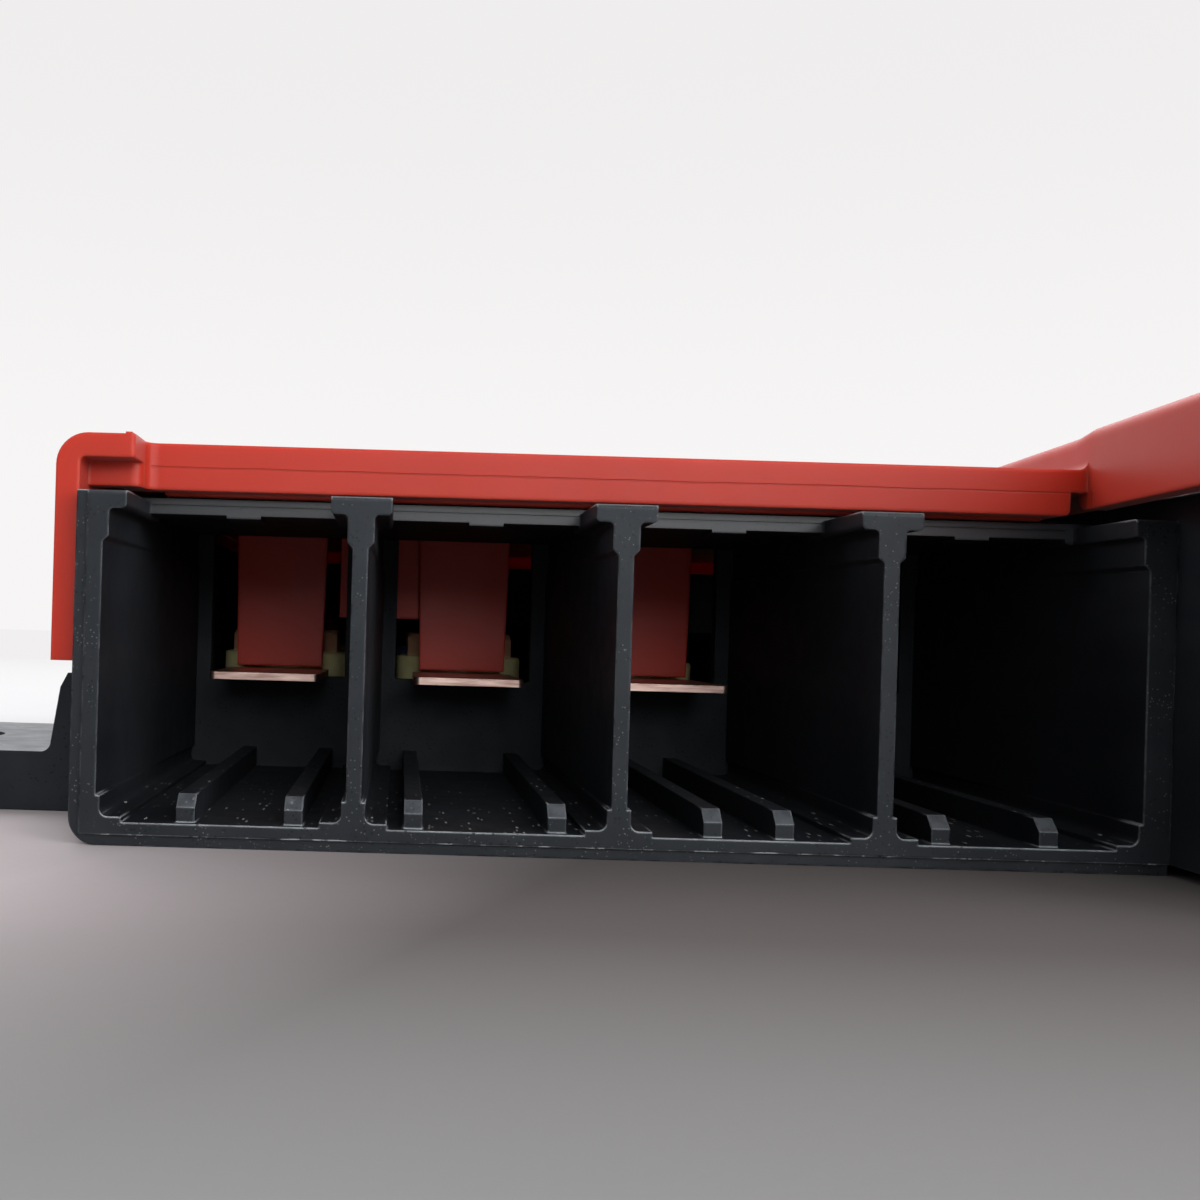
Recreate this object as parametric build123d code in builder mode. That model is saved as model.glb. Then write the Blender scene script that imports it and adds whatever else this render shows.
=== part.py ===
"""Battery-terminal fuse box: four open connector ways in front, three bolt-down
cartridge fuses behind them, a battery clamp block at the right and a hinged lid.

Millimetres, +Z up.  The ways open towards -Y, the mounting lug is at -X and the
battery block at +X.  The origin is the middle of the footprint, on the underside.
"""
import os
from math import sqrt

from build123d import *

os.makedirs("parts", exist_ok=True)

# --- Driving dimensions -------------------------------------------------------
# Connector ways
WAYS = 4
FUSED_WAYS = 3          # ways that carry a blade and a fuse, counted from the lug
WAY_WIDTH = 20.7        # clear width between the way faces at the mouth
DIVIDER = 1.3           # divider thickness at the mouth
WAY_DEPTH = 43.8        # mouth to back wall
BACK_WALL = 1.8
DRAFT = 0.73            # how far each way face leans in at the back wall
WALL = 2.3              # outer walls of the housing
FLOOR_TOP = 2.0         # trough of the way floor
LEDGE_TOP = 2.45        # floor level beside the way faces
LEDGE_REACH = 2.15      # ledge width, from the way face
FOOT_TOP = 4.2          # thick foot of the dividers
FOOT_REACH = 0.35
FOOT_FILLET = 0.7
NECK_BOTTOM = 25.7      # thick neck under the T-shaped heads
NECK_REACH = 0.475
HEAD_BOTTOM = 28.0      # T-shaped heads that the connectors slide under
HEAD_REACH = 1.9
END_HEAD_REACH = 1.2    # the last head, on the right wall, is shorter
HEAD_TOP = 29.5
HEAD_LENGTH = 9.5       # heads run this far back, to the roof rail
HEAD_ROUND = 0.35
HEAD_SOFT = 0.4         # rounded lower corners of the heads, and hollows where they meet the necks
ROOF_BOTTOM = 28.5
ROOF_TOP = 29.9
ROOF_INNER = 29.3       # underside of the roof behind the rail
ROOF_HIGH = 30.6        # its top there
RAIL_DEPTH = 4.0        # depth of the rail along the roof's front edge
ROOF_GROOVE_Z = 29.2
ROOF_GROOVE = 0.15
ROOF_PAD = (3.1, 0.3)   # width and drop of the pad under each roof rail
ROOT = 0.5              # how far a rib runs into the wall that it grows from
CORNER = 2.4            # rounded lower edges of the housing
BAND = 0.95             # outer band round the mouth, set back by BAND_SET_BACK
BAND_SET_BACK = 0.3

# Coding ribs on the way floors: offsets of the two ribs from the way's centre line
CODING = ((-3.0, 6.0), (-6.0, 6.0), (-3.0, 3.0), (-6.0, 3.0))
CODING_WIDTH = 1.55
CODING_HEIGHT = 2.3
CODING_START = 0.8
CODING_NOSE = 1.0

# Windows in the back wall
WINDOW_WIDTH = 16.0
ROOF_NOTCH = 0.5        # how far the window also bites into the roof, for the lid's tongue

# Conductors and fasteners
BLADE_WIDTH = 11.8
BLADE_T = 0.8
BLADE_BOTTOM = 12.8     # sill of the windows
BLADE_CORNER = 0.6
BLADE_FRONT = 29.5      # front edge of the blades, behind the mouth
EYE_WIDTH = 16.0
JOG_LEAD = 0.1          # flat of the blade behind the lid's tongue, before it turns down
JOG_SLANT = 0.5
SEAT_Z = 10.5           # level that every fuse tab is bolted down on
LINK_T = 1.0
STUD_BACK = 10.9        # front studs, behind the back wall
STUD_SPACING = 51.0     # fuse hole spacing
STUD_R = 4.0            # M8
HOLE_PLAY = 0.1         # stud holes in the conductors, round the studs
THREAD_PLAY = 0.05      # nuts and tapped holes, round the plain shanks
STUD_HEAD_R = 6.0
STUD_HEAD_T = 1.5
STUD_TOP = 20.5
STUD_LEAD_IN = 0.8
STUD_LEAD_IN_ANGLE = 35
NUT_FLATS = 13.0
NUT_COLLAR_R = 8.0
NUT_COLLAR_T = 4.0
NUT_HEIGHT = 6.9
NUT_EDGE = 0.5          # height of the chamfers on nuts and collars
NUT_EDGE_ANGLE = 30
BUSBAR_T = 2.0
BUSBAR_WIDTH = 18.0
BUSBAR_CORNER = 4.0
BUSBAR_ROOM = 1.0       # side clearance where the busbar passes through a wall
FEED_STUD_TOP = 26.0

# Fuse cartridges
FUSE_LENGTH = 68.6
CARTRIDGE_LENGTH = 28.0
CARTRIDGE_WIDTH = 16.0
CARTRIDGE_BOTTOM = 6.2
CARTRIDGE_TOP = 16.2
CARTRIDGE_WALL = 1.5
CARTRIDGE_CORNER = 1.2
CARTRIDGE_EDGE = 0.6
CARTRIDGE_GRIP = 1.0    # width of each side of the link held between the halves
HOLLOW_CORNER = 1.5
LABEL_PAD = 0.5         # height of the raised pad on the upper half
LINK_WAIST = 12.0       # link width inside the cartridge
LINK_NECK = 3.2         # narrow part that melts
LINK_BITE = 7.0         # length of the side bites that leave the neck
LINK_GAP = 0.1          # side clearance of the link in the cartridge

# Housing behind and beside the ways
LUG_REACH = 30.85       # from the left wall to the lug's end
LUG_T = 5.75
LUG_FRONT = 17.8        # behind the mouth
LUG_WIDTH = 32.7
LUG_HOLE_R = 4.5
LUG_HOLE_OUT = 21.15    # hole centre, from the left wall
LUG_CORNER = 6.0
GUSSET_REACH = 7.65
GUSSET_TOP = 13.5
GUSSET_LEAN = 2.5       # its upper edge is this far in from its foot
GUSSET_CHAMFER = (0.7, 1.4)
GUSSET_TOE = 1.0        # hollow radius at its foot
BLOCK_WIDTH = 48.0      # battery block, right of the ways
BLOCK_REACH = 24.0      # battery block, in front of the mouth
BLOCK_TOP = 31.5
BLOCK_CORNER = 4.0
CHAMBER_FLOOR = 2.5
CHAMBER_TOP = 29.5
REAR_TOP = 30.9         # outer part of the rear wall, between the hinge ears
REAR_STEP = 30.2        # inner part, under the lid's rear lip
REAR_OUTER = 1.0        # thickness of the outer part
REAR_MARGIN = 10.5      # rear studs to the inside of the rear wall
PARTITION_T = 1.6
PARTITION_TOP = 19.4

# Battery clamp
POST_BORE_R = 9.0
CLAMP_R = 15.0
CLAMP_BOTTOM = 1.2
CLAMP_TOP = 18.0
POST_BACK = 0.7         # post axis, behind the mouth, beyond one wall's thickness
CLAMP_SLIT = 3.0
EAR_WIDTH = 7.0
EAR_EDGE = 4.5          # metal in front of the bolt's axis
EAR_HEIGHT = 12.0
CLAMP_PAD_WIDTH = 22.0
CLAMP_BOLT_R = 3.0      # M6
CLAMP_BOLT_PLAY = 0.3
WASHER_PLAY = 0.2
WASHER_R = 6.0
WASHER_T = 1.6
BOLT_HEAD_T = 4.0
BOLT_HEAD_FLATS = 10.0
CLAMP_NUT_T = 5.0
BOLT_PROUD = 2.5
JOINT_FLOOR = 1.0       # metal left under the joint stud's blind hole
JOINT_STUD_EDGE = 0.6
JOINT_BACK = 35.0       # clamp-to-busbar stud, behind the mouth
FEED_BACK = 75.0        # feed stud, behind the mouth
POST_OPENING_GAP = 3.0

# Lid
LID_T = 2.0
LID_GAP = 0.3           # lid walls to housing walls
LID_TOP = 34.5
LID_FRONT = 7.1         # front skirt, behind the mouth
SKIRT_BOTTOM = 30.4
RIM_FRONT = 2.0         # left rim, behind the mouth
RIM_WIDTH = 6.6
RIM_EDGE = 0.25         # rounded end of the rim
RIM_HOLLOW = 1.0        # hollow radius where the step behind the rim meets the front skirt
RIM_SOFT = 0.45         # hollow radius inside the rim, at its upper left corner
RIM_BEAD = (0.8, 0.25, 0.15)  # bead on the rim: outer and inner offset, height
RECESS = 2.9            # the skirt under the rim is this far behind the rim's front edge
RECESS_ROUND = 0.9      # rounded corner where that skirt turns back to the front skirt
REAR_OVERHANG = -0.4    # lid's rear edge, behind the rear wall's outer face
LID_CORNER = 2.7        # rounded upper left edge
SIDE_SKIRT_BOTTOM = 15.2
HOOD_TOP = 38.3
HOOD_REAR_DROP = 0.4    # the hood is this much lower behind the front skirt
HOOD_RAMP = 3.0         # length of the slope between its two levels
HOOD_SKIRT_BOTTOM = 31.0
HOOD_FRONT_BOTTOM = 20.0
HOOD_EDGE_IN = 3.65     # hood's left face to the right wall's outer face, at LID_FRONT
HOOD_SPLAY = 0.0925     # sideways run of the hood's left face per millimetre of depth
HOOD_SPLAY_END = 42.0
HOOD_ROUND = 1.2        # rounded top edge of the hood
HOOD_FOOT = 0.8         # hollow radius where the hood rises from the lid
NOTCH = 1.5             # slot between front skirt and hood
NOTCH_ROUND = 0.5       # lower corner of the front skirt at the slot
HOOD_SKIRT_BACK = 1.7   # the hood's left skirt ends this far behind the front skirt's face
HOOD_SKIRT_ROUND = 1.4
TONGUE_TOP_WIDTH = 11.0
TONGUE_TIP_WIDTH = 10.2
TONGUE_T = 1.4
TONGUE_GAP = 0.3        # tongue to back wall, and tongue tip to blade
KEY_RIB_WIDTH = 10.0
KEY_RIB_BOTTOM = 20.0
KEY_RIB_OFFSET = 1.0    # from the divider's centre line
LID_RIB_T = 1.5

# Hinge
HINGE_OUT = 3.9         # hinge axis, behind the rear wall
HINGE_Z = 31.0
HINGE_R = 3.5
PIN_R = 1.5
PIN_PLAY = 0.06
EYE_LENGTH = 10.0
EAR_T = 3.0
EAR_GAP = 0.4
EAR_ROOT = 12.0         # the ears run this far down the rear wall below the axis

# Cable way out of the battery block
CABLE_SLOT = 16.0
CABLE_SLOT_BOTTOM = 12.0
CABLE_SLOT_TOP = 30.0

# Modelling allowances
OVER = 1.0              # cuts run this far past the faces that they open
LEVEL = 0.01            # faces and edges this close share one level

# --- Derived positions --------------------------------------------------------
PITCH = WAY_WIDTH + DIVIDER
BOX_WIDTH = WAYS * PITCH - DIVIDER + 2 * WALL
BODY_DEPTH = WAY_DEPTH + BACK_WALL + STUD_BACK + STUD_SPACING + REAR_MARGIN + WALL
LID_MARGIN = LID_GAP + LID_T
OVERALL_X = LUG_REACH + BOX_WIDTH + BLOCK_WIDTH + LID_MARGIN
OVERALL_Y = LID_MARGIN + BLOCK_REACH + BODY_DEPTH + HINGE_OUT + HINGE_R

LUG_END_X = -OVERALL_X / 2
LEFT_X = LUG_END_X + LUG_REACH              # outer face of the left wall
RIGHT_X = LEFT_X + BOX_WIDTH                # outer face of the ways' right wall
BLOCK_X = RIGHT_X + BLOCK_WIDTH             # outer face of the battery block
POST_X = RIGHT_X + BLOCK_WIDTH / 2

BLOCK_Y = -OVERALL_Y / 2 + LID_MARGIN       # front face of the battery block
MOUTH_Y = BLOCK_Y + BLOCK_REACH             # front plane of the ways
RAIL_Y = MOUTH_Y + HEAD_LENGTH                # front face of the roof rail
RAIL_BACK_Y = RAIL_Y + RAIL_DEPTH
BACK_Y = MOUTH_Y + WAY_DEPTH                # front face of the back wall
CHAMBER_Y = BACK_Y + BACK_WALL              # rear face of the back wall
STUD_Y = CHAMBER_Y + STUD_BACK
REAR_STUD_Y = STUD_Y + STUD_SPACING
FUSE_Y = (STUD_Y + REAR_STUD_Y) / 2
INNER_REAR_Y = REAR_STUD_Y + REAR_MARGIN
REAR_Y = INNER_REAR_Y + WALL
HINGE_Y = REAR_Y + HINGE_OUT
POST_Y = MOUTH_Y + WALL + POST_BACK
JOINT_Y = MOUTH_Y + JOINT_BACK
FEED_Y = MOUTH_Y + FEED_BACK

NUT_SEAT_Z = SEAT_Z + LINK_T
HOLE_R = STUD_R + HOLE_PLAY
POCKET_R = STUD_HEAD_R + LID_GAP            # pockets for the stud heads
POCKET_DEPTH = STUD_HEAD_T + LID_GAP
BLADE_TOP = BLADE_BOTTOM + BLADE_T
LID_UNDER = LID_TOP - LID_T
HOOD_UNDER = HOOD_TOP - HOOD_REAR_DROP - LID_T
TONGUE_Y = CHAMBER_Y + TONGUE_GAP
LID_RIB_Y = TONGUE_Y + TONGUE_T
LID_LEFT_X = LEFT_X - LID_MARGIN
LID_RIGHT_X = BLOCK_X + LID_MARGIN
LID_REAR_Y = REAR_Y + REAR_OVERHANG
EARS_HALF = CLAMP_SLIT / 2 + EAR_WIDTH
CLAMP_BOLT_Y = POST_Y - sqrt(CLAMP_R**2 - EARS_HALF**2) - WASHER_R - LID_GAP
CLAMP_BOLT_Z = (CLAMP_BOTTOM + CLAMP_TOP) / 2


def way_x(index):
    """Centre line of a connector way, counted from the lug side."""
    return LEFT_X + WALL + WAY_WIDTH / 2 + index * PITCH


def divider_x(index):
    """Centre line of the divider on the right of a way."""
    return way_x(index) + PITCH / 2


def upright(x, y, z=0.0):
    """Plane that faces -Y, with its own X along +X and its own Y along +Z."""
    return Plane(origin=(x, y, z), x_dir=(1, 0, 0), z_dir=(0, -1, 0))


def sideways(x, y=0.0, z=0.0):
    """Plane that faces +X, with its own X along +Y and its own Y along +Z."""
    return Plane(origin=(x, y, z), x_dir=(0, 1, 0), z_dir=(1, 0, 0))


def level(x, y, z):
    """Plane that faces +Z, with its own axes along the part's."""
    return Plane(origin=(x, y, z), x_dir=(1, 0, 0), z_dir=(0, 0, 1))


def slab(x, y, z, mode=Mode.ADD):
    """Box between pairs of limits along X, Y and Z, in the current part."""
    with BuildSketch(level((x[0] + x[1]) / 2, (y[0] + y[1]) / 2, z[0])) as footprint:
        Rectangle(x[1] - x[0], y[1] - y[0])
    extrude(footprint.sketch, amount=z[1] - z[0], mode=mode)


def rod(x, y, z0, z1, radius, mode=Mode.ADD):
    """Upright cylinder in the current part."""
    with BuildSketch(level(x, y, z0)) as footprint:
        Circle(radius)
    extrude(footprint.sketch, amount=z1 - z0, mode=mode)


def write(piece, name):
    """Label a finished piece and write it as one STEP file."""
    piece.part.label = name
    export_step(piece.part, f"parts/{name}.step")


# --- Housing ---------------------------------------------------------------------
# One moulding, kept as four nodes that meet face to face: the ways, the tray of the
# fuses behind them, the battery block beside the ways, and the mounting lug.
HALF_WAY = WAY_WIDTH / 2
HINGE_STATIONS = (divider_x(0), divider_x(2), POST_X)

with BuildPart() as housing:
    # Outer block of ways and fuse chamber, rounded along its lower left edge
    with BuildSketch(upright(LEFT_X, MOUTH_Y)) as box_outline:
        Rectangle(BOX_WIDTH, HEAD_TOP, align=(Align.MIN, Align.MIN))
        fillet(box_outline.vertices().sort_by(Axis.X)[:2].sort_by(Axis.Y)[0], CORNER)
    extrude(amount=-(REAR_Y - MOUTH_Y))

    # Battery block at the right, standing forward of the mouth
    with BuildSketch(level(POST_X, (BLOCK_Y + REAR_Y) / 2, BAND)) as block_outline:
        Rectangle(BLOCK_WIDTH, REAR_Y - BLOCK_Y)
        fillet(block_outline.vertices().sort_by(Axis.Y)[:2], BLOCK_CORNER)
    extrude(amount=BLOCK_TOP - BAND)

    # Hollow of the battery block
    with BuildSketch(level(POST_X, (BLOCK_Y + REAR_Y) / 2, CHAMBER_FLOOR)) as block_hollow:
        Rectangle(BLOCK_WIDTH - 2 * WALL, REAR_Y - BLOCK_Y - 2 * WALL)
        fillet(block_hollow.vertices().sort_by(Axis.Y)[:2], BLOCK_CORNER - WALL)
    extrude(amount=BLOCK_TOP, mode=Mode.SUBTRACT)

    # Fuse chamber behind the back wall
    slab(
        (LEFT_X + WALL, RIGHT_X),
        (CHAMBER_Y, INNER_REAR_Y),
        (CHAMBER_FLOOR, BLOCK_TOP + OVER),
        mode=Mode.SUBTRACT,
    )

    # The ways: trough floor, ledges, feet, necks and T-heads in one outline each
    for way in range(WAYS):
        with BuildSketch(upright(way_x(way), MOUTH_Y)):
            with BuildLine():
                Polyline(
                    (0, FLOOR_TOP),
                    (HALF_WAY - LEDGE_REACH, FLOOR_TOP),
                    (HALF_WAY - LEDGE_REACH, LEDGE_TOP),
                    (HALF_WAY - FOOT_REACH - FOOT_FILLET, LEDGE_TOP),
                )
                RadiusArc(
                    (HALF_WAY - FOOT_REACH - FOOT_FILLET, LEDGE_TOP),
                    (HALF_WAY - FOOT_REACH, LEDGE_TOP + FOOT_FILLET),
                    -FOOT_FILLET,
                )
                Polyline(
                    (HALF_WAY - FOOT_REACH, LEDGE_TOP + FOOT_FILLET),
                    (HALF_WAY - FOOT_REACH, FOOT_TOP),
                    (HALF_WAY, FOOT_TOP),
                    (HALF_WAY, NECK_BOTTOM - NECK_REACH),
                    (HALF_WAY - NECK_REACH, NECK_BOTTOM),
                    (HALF_WAY - NECK_REACH, HEAD_BOTTOM - HEAD_SOFT),
                )
                RadiusArc(
                    (HALF_WAY - NECK_REACH, HEAD_BOTTOM - HEAD_SOFT),
                    (HALF_WAY - NECK_REACH - HEAD_SOFT, HEAD_BOTTOM),
                    -HEAD_SOFT,
                )
                Line(
                    (HALF_WAY - NECK_REACH - HEAD_SOFT, HEAD_BOTTOM),
                    (HALF_WAY - HEAD_REACH + HEAD_SOFT, HEAD_BOTTOM),
                )
                RadiusArc(
                    (HALF_WAY - HEAD_REACH + HEAD_SOFT, HEAD_BOTTOM),
                    (HALF_WAY - HEAD_REACH, HEAD_BOTTOM + HEAD_SOFT),
                    HEAD_SOFT,
                )
                Polyline(
                    (HALF_WAY - HEAD_REACH, HEAD_BOTTOM + HEAD_SOFT),
                    (HALF_WAY - HEAD_REACH, ROOF_BOTTOM),
                    (0, ROOF_BOTTOM),
                )
                mirror(about=Plane.YZ)
            make_face()
        extrude(amount=-WAY_DEPTH, mode=Mode.SUBTRACT)

    # Draft: a thin wedge on both faces of every way
    with BuildSketch(Plane.XY.offset(FOOT_TOP)):
        for way in range(WAYS):
            for side in (-1, 1):
                face_x = way_x(way) + side * HALF_WAY
                with BuildLine():
                    Polyline(
                        (face_x + side * DIVIDER / 2, MOUTH_Y),
                        (face_x, MOUTH_Y),
                        (face_x - side * DRAFT, BACK_Y + BACK_WALL / 2),
                        (face_x + side * DIVIDER / 2, BACK_Y + BACK_WALL / 2),
                        close=True,
                    )
                make_face()
    extrude(amount=NECK_BOTTOM - FOOT_TOP)

    # Open top between the heads, and the roof behind them with its grooved rail
    for way in range(WAYS):
        slab(
            (way_x(way) - HALF_WAY + HEAD_REACH, way_x(way) + HALF_WAY - HEAD_REACH),
            (MOUTH_Y - OVER, RAIL_Y),
            (ROOF_BOTTOM, HEAD_TOP + OVER),
            mode=Mode.SUBTRACT,
        )
        slab(
            (way_x(way) - ROOF_PAD[0] / 2, way_x(way) + ROOF_PAD[0] / 2),
            (RAIL_Y, RAIL_BACK_Y),
            (ROOF_BOTTOM - ROOF_PAD[1], ROOF_BOTTOM),
        )
    slab(
        (way_x(WAYS - 1) + HALF_WAY - HEAD_REACH - LEVEL, way_x(WAYS - 1) + HALF_WAY - END_HEAD_REACH),
        (MOUTH_Y - OVER, RAIL_Y),
        (HEAD_BOTTOM - HEAD_SOFT, HEAD_TOP + OVER),
        mode=Mode.SUBTRACT,
    )
    slab((LEFT_X, RIGHT_X), (RAIL_Y, CHAMBER_Y), (HEAD_TOP, ROOF_TOP))
    slab((LEFT_X, RIGHT_X), (RAIL_BACK_Y, CHAMBER_Y), (ROOF_TOP, ROOF_HIGH))
    for way in range(WAYS):
        slab(
            (way_x(way) - HALF_WAY + NECK_REACH, way_x(way) + HALF_WAY - NECK_REACH),
            (RAIL_BACK_Y, BACK_Y),
            (ROOF_BOTTOM - OVER, ROOF_INNER),
            mode=Mode.SUBTRACT,
        )
    for way in range(WAYS):
        slab(
            (way_x(way) - HALF_WAY + HEAD_REACH, way_x(way) + HALF_WAY - HEAD_REACH),
            (RAIL_Y, RAIL_Y + ROOF_GROOVE),
            (ROOF_GROOVE_Z, ROOF_GROOVE_Z + ROOF_GROOVE),
            mode=Mode.SUBTRACT,
        )

    # Rounded upper front edges of the heads
    head_edges = housing.edges().filter_by(Axis.X).filter_by(
        lambda edge: abs(edge.center().Y - MOUTH_Y) < LEVEL and abs(edge.center().Z - HEAD_TOP) < LEVEL
    )
    fillet(head_edges, HEAD_ROUND)

    # Coding ribs with sloped noses
    for way, offsets in enumerate(CODING):
        for offset_x in offsets:
            with BuildSketch(sideways(way_x(way) + offset_x, MOUTH_Y)):
                Polygon(
                    (CODING_START, FLOOR_TOP - ROOT),
                    (CODING_START, FLOOR_TOP + CODING_HEIGHT - CODING_NOSE),
                    (CODING_START + CODING_NOSE, FLOOR_TOP + CODING_HEIGHT),
                    (WAY_DEPTH + BACK_WALL / 2, FLOOR_TOP + CODING_HEIGHT),
                    (WAY_DEPTH + BACK_WALL / 2, FLOOR_TOP - ROOT),
                    align=None,
                )
            extrude(amount=CODING_WIDTH / 2, both=True)

    # Windows for blades and tongues, open upwards through the roof's rear edge
    for way in range(WAYS):
        slab(
            (way_x(way) - WINDOW_WIDTH / 2, way_x(way) + WINDOW_WIDTH / 2),
            (BACK_Y - ROOF_NOTCH, CHAMBER_Y + OVER),
            (BLADE_BOTTOM, ROOF_HIGH + OVER),
            mode=Mode.SUBTRACT,
        )

    # Band round the mouth, set back a little from the front plane
    with BuildSketch(upright(LEFT_X, MOUTH_Y)) as band:
        Rectangle(BOX_WIDTH, HEAD_TOP, align=(Align.MIN, Align.MIN))
        fillet(band.vertices().sort_by(Axis.X)[:2].sort_by(Axis.Y)[0], CORNER)
        with Locations((BAND, BAND)):
            Rectangle(BOX_WIDTH, HEAD_TOP, align=(Align.MIN, Align.MIN), mode=Mode.SUBTRACT)
    extrude(amount=-BAND_SET_BACK, mode=Mode.SUBTRACT)

    # Plinths under the blade eyes, with pockets for the stud heads
    for way in range(WAYS):
        slab(
            (way_x(way) - EYE_WIDTH / 2, way_x(way) + EYE_WIDTH / 2),
            (STUD_Y - EYE_WIDTH / 2, STUD_Y + EYE_WIDTH / 2),
            (CHAMBER_FLOOR, SEAT_Z - BLADE_T),
        )
        rod(
            way_x(way),
            STUD_Y,
            SEAT_Z - BLADE_T - POCKET_DEPTH,
            SEAT_Z,
            POCKET_R,
            mode=Mode.SUBTRACT,
        )

    # Cradle ribs under the fuse cartridges
    for way in range(WAYS):
        for end in (-1, 1):
            rib_y = FUSE_Y + end * CARTRIDGE_LENGTH / 3
            slab(
                (way_x(way) - CARTRIDGE_WIDTH / 2, way_x(way) + CARTRIDGE_WIDTH / 2),
                (rib_y - PARTITION_T, rib_y + PARTITION_T),
                (CHAMBER_FLOOR, CARTRIDGE_BOTTOM),
            )

    # Rear plinth under the busbar, with pockets for the stud heads
    slab(
        (way_x(0) - BUSBAR_WIDTH / 2, RIGHT_X + WALL),
        (REAR_STUD_Y - BUSBAR_WIDTH / 2, REAR_STUD_Y + BUSBAR_WIDTH / 2),
        (CHAMBER_FLOOR, SEAT_Z - BUSBAR_T),
    )
    for way in range(FUSED_WAYS):
        rod(
            way_x(way),
            REAR_STUD_Y,
            SEAT_Z - BUSBAR_T - POCKET_DEPTH,
            SEAT_Z,
            POCKET_R,
            mode=Mode.SUBTRACT,
        )

    # Gap in the wall where the busbar passes into the battery block
    slab(
        (RIGHT_X - OVER, RIGHT_X + WALL + OVER),
        (REAR_STUD_Y - BUSBAR_WIDTH / 2 - BUSBAR_ROOM, INNER_REAR_Y),
        (SEAT_Z - BUSBAR_T, BLOCK_TOP + OVER),
        mode=Mode.SUBTRACT,
    )

    # The wall beside the fuse chamber and the block's rear end are as low as the chamber
    slab(
        (RIGHT_X - OVER, BLOCK_X + OVER),
        (CHAMBER_Y, REAR_Y + OVER),
        (CHAMBER_TOP, BLOCK_TOP + OVER),
        mode=Mode.SUBTRACT,
    )

    # Raised rear wall, stepped for the lid's lip and left out under the hinge eyes
    slab((LEFT_X, BLOCK_X), (INNER_REAR_Y, REAR_Y), (CHAMBER_TOP - ROOT, REAR_STEP))
    slab((LEFT_X, BLOCK_X), (REAR_Y - REAR_OUTER, REAR_Y), (CHAMBER_TOP - ROOT, REAR_TOP))
    for station in HINGE_STATIONS:
        slab(
            (station - EYE_LENGTH / 2 - EAR_GAP, station + EYE_LENGTH / 2 + EAR_GAP),
            (INNER_REAR_Y - OVER, REAR_Y + OVER),
            (CHAMBER_TOP, REAR_TOP + OVER),
            mode=Mode.SUBTRACT,
        )

    # Partitions between the fuses
    for divider in range(WAYS - 1):
        slab(
            (divider_x(divider) - PARTITION_T / 2, divider_x(divider) + PARTITION_T / 2),
            (STUD_Y - EYE_WIDTH / 2, REAR_STUD_Y - BUSBAR_WIDTH / 2 - PARTITION_T),
            (CHAMBER_FLOOR, PARTITION_TOP),
        )

    # Plinth under the forward run of the busbar, with a pocket for the feed stud
    slab(
        (POST_X - BUSBAR_WIDTH / 2, POST_X + BUSBAR_WIDTH / 2),
        (FEED_Y - BUSBAR_WIDTH / 2, FEED_Y + BUSBAR_WIDTH / 2),
        (CHAMBER_FLOOR, SEAT_Z - BUSBAR_T),
    )
    rod(
        POST_X,
        FEED_Y,
        SEAT_Z - BUSBAR_T - POCKET_DEPTH,
        SEAT_Z,
        POCKET_R,
        mode=Mode.SUBTRACT,
    )

    # Opening for the battery post and the clamp ring, through the block's floor
    with BuildSketch(level(POST_X, POST_Y, 0)):
        Circle(CLAMP_R + POST_OPENING_GAP)
    extrude(amount=CHAMBER_FLOOR + OVER, mode=Mode.SUBTRACT)

    # Cable slot in the block's right wall
    slab(
        (BLOCK_X - WALL - OVER, BLOCK_X + OVER),
        (FEED_Y - CABLE_SLOT / 2, FEED_Y + CABLE_SLOT / 2),
        (CABLE_SLOT_BOTTOM, BLOCK_TOP + OVER),
        mode=Mode.SUBTRACT,
    )

    # Mounting lug: flat plate with a round hole
    with BuildSketch(level(LEFT_X + WALL / 2, MOUTH_Y + LUG_FRONT, 0)) as lug_outline:
        Rectangle(LUG_REACH + WALL / 2, LUG_WIDTH, align=(Align.MAX, Align.MIN))
        fillet(lug_outline.vertices().sort_by(Axis.X)[:2], LUG_CORNER)
        with Locations((-LUG_HOLE_OUT - WALL / 2, LUG_WIDTH / 2)):
            Circle(LUG_HOLE_R, mode=Mode.SUBTRACT)
    extrude(amount=LUG_T)

    # Gusset from the lug up the left wall
    with BuildSketch(upright(LEFT_X, MOUTH_Y + LUG_FRONT)):
        with BuildLine():
            Line((-GUSSET_REACH, LUG_T), (WALL / 2, LUG_T))
            Line((WALL / 2, LUG_T), (WALL / 2, GUSSET_TOP))
            Polyline(
                (WALL / 2, GUSSET_TOP),
                (GUSSET_LEAN - GUSSET_REACH, GUSSET_TOP),
                (GUSSET_LEAN - GUSSET_REACH - GUSSET_CHAMFER[0], GUSSET_TOP - GUSSET_CHAMFER[1]),
                (GUSSET_TOE - GUSSET_REACH, LUG_T + GUSSET_TOE),
            )
            RadiusArc(
                (GUSSET_TOE - GUSSET_REACH, LUG_T + GUSSET_TOE),
                (-GUSSET_REACH, LUG_T),
                GUSSET_TOE,
            )
        make_face()
    extrude(amount=-LUG_WIDTH)

    # Hinge ears on the rear wall
    for station in HINGE_STATIONS:
        for side in (-1, 1):
            ear_x = station + side * (EYE_LENGTH / 2 + EAR_GAP + EAR_T / 2)
            with BuildSketch(sideways(ear_x, HINGE_Y, HINGE_Z)):
                Circle(HINGE_R)
                Polygon(
                    (-HINGE_OUT - WALL / 2, -EAR_ROOT),
                    (HINGE_R, 0),
                    (0, 0),
                    (-HINGE_OUT, CHAMBER_TOP - HINGE_Z),
                    (-HINGE_OUT - WALL / 2, CHAMBER_TOP - HINGE_Z),
                    align=None,
                )
                Circle(PIN_R, mode=Mode.SUBTRACT)
            extrude(amount=EAR_T / 2, both=True)

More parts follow.
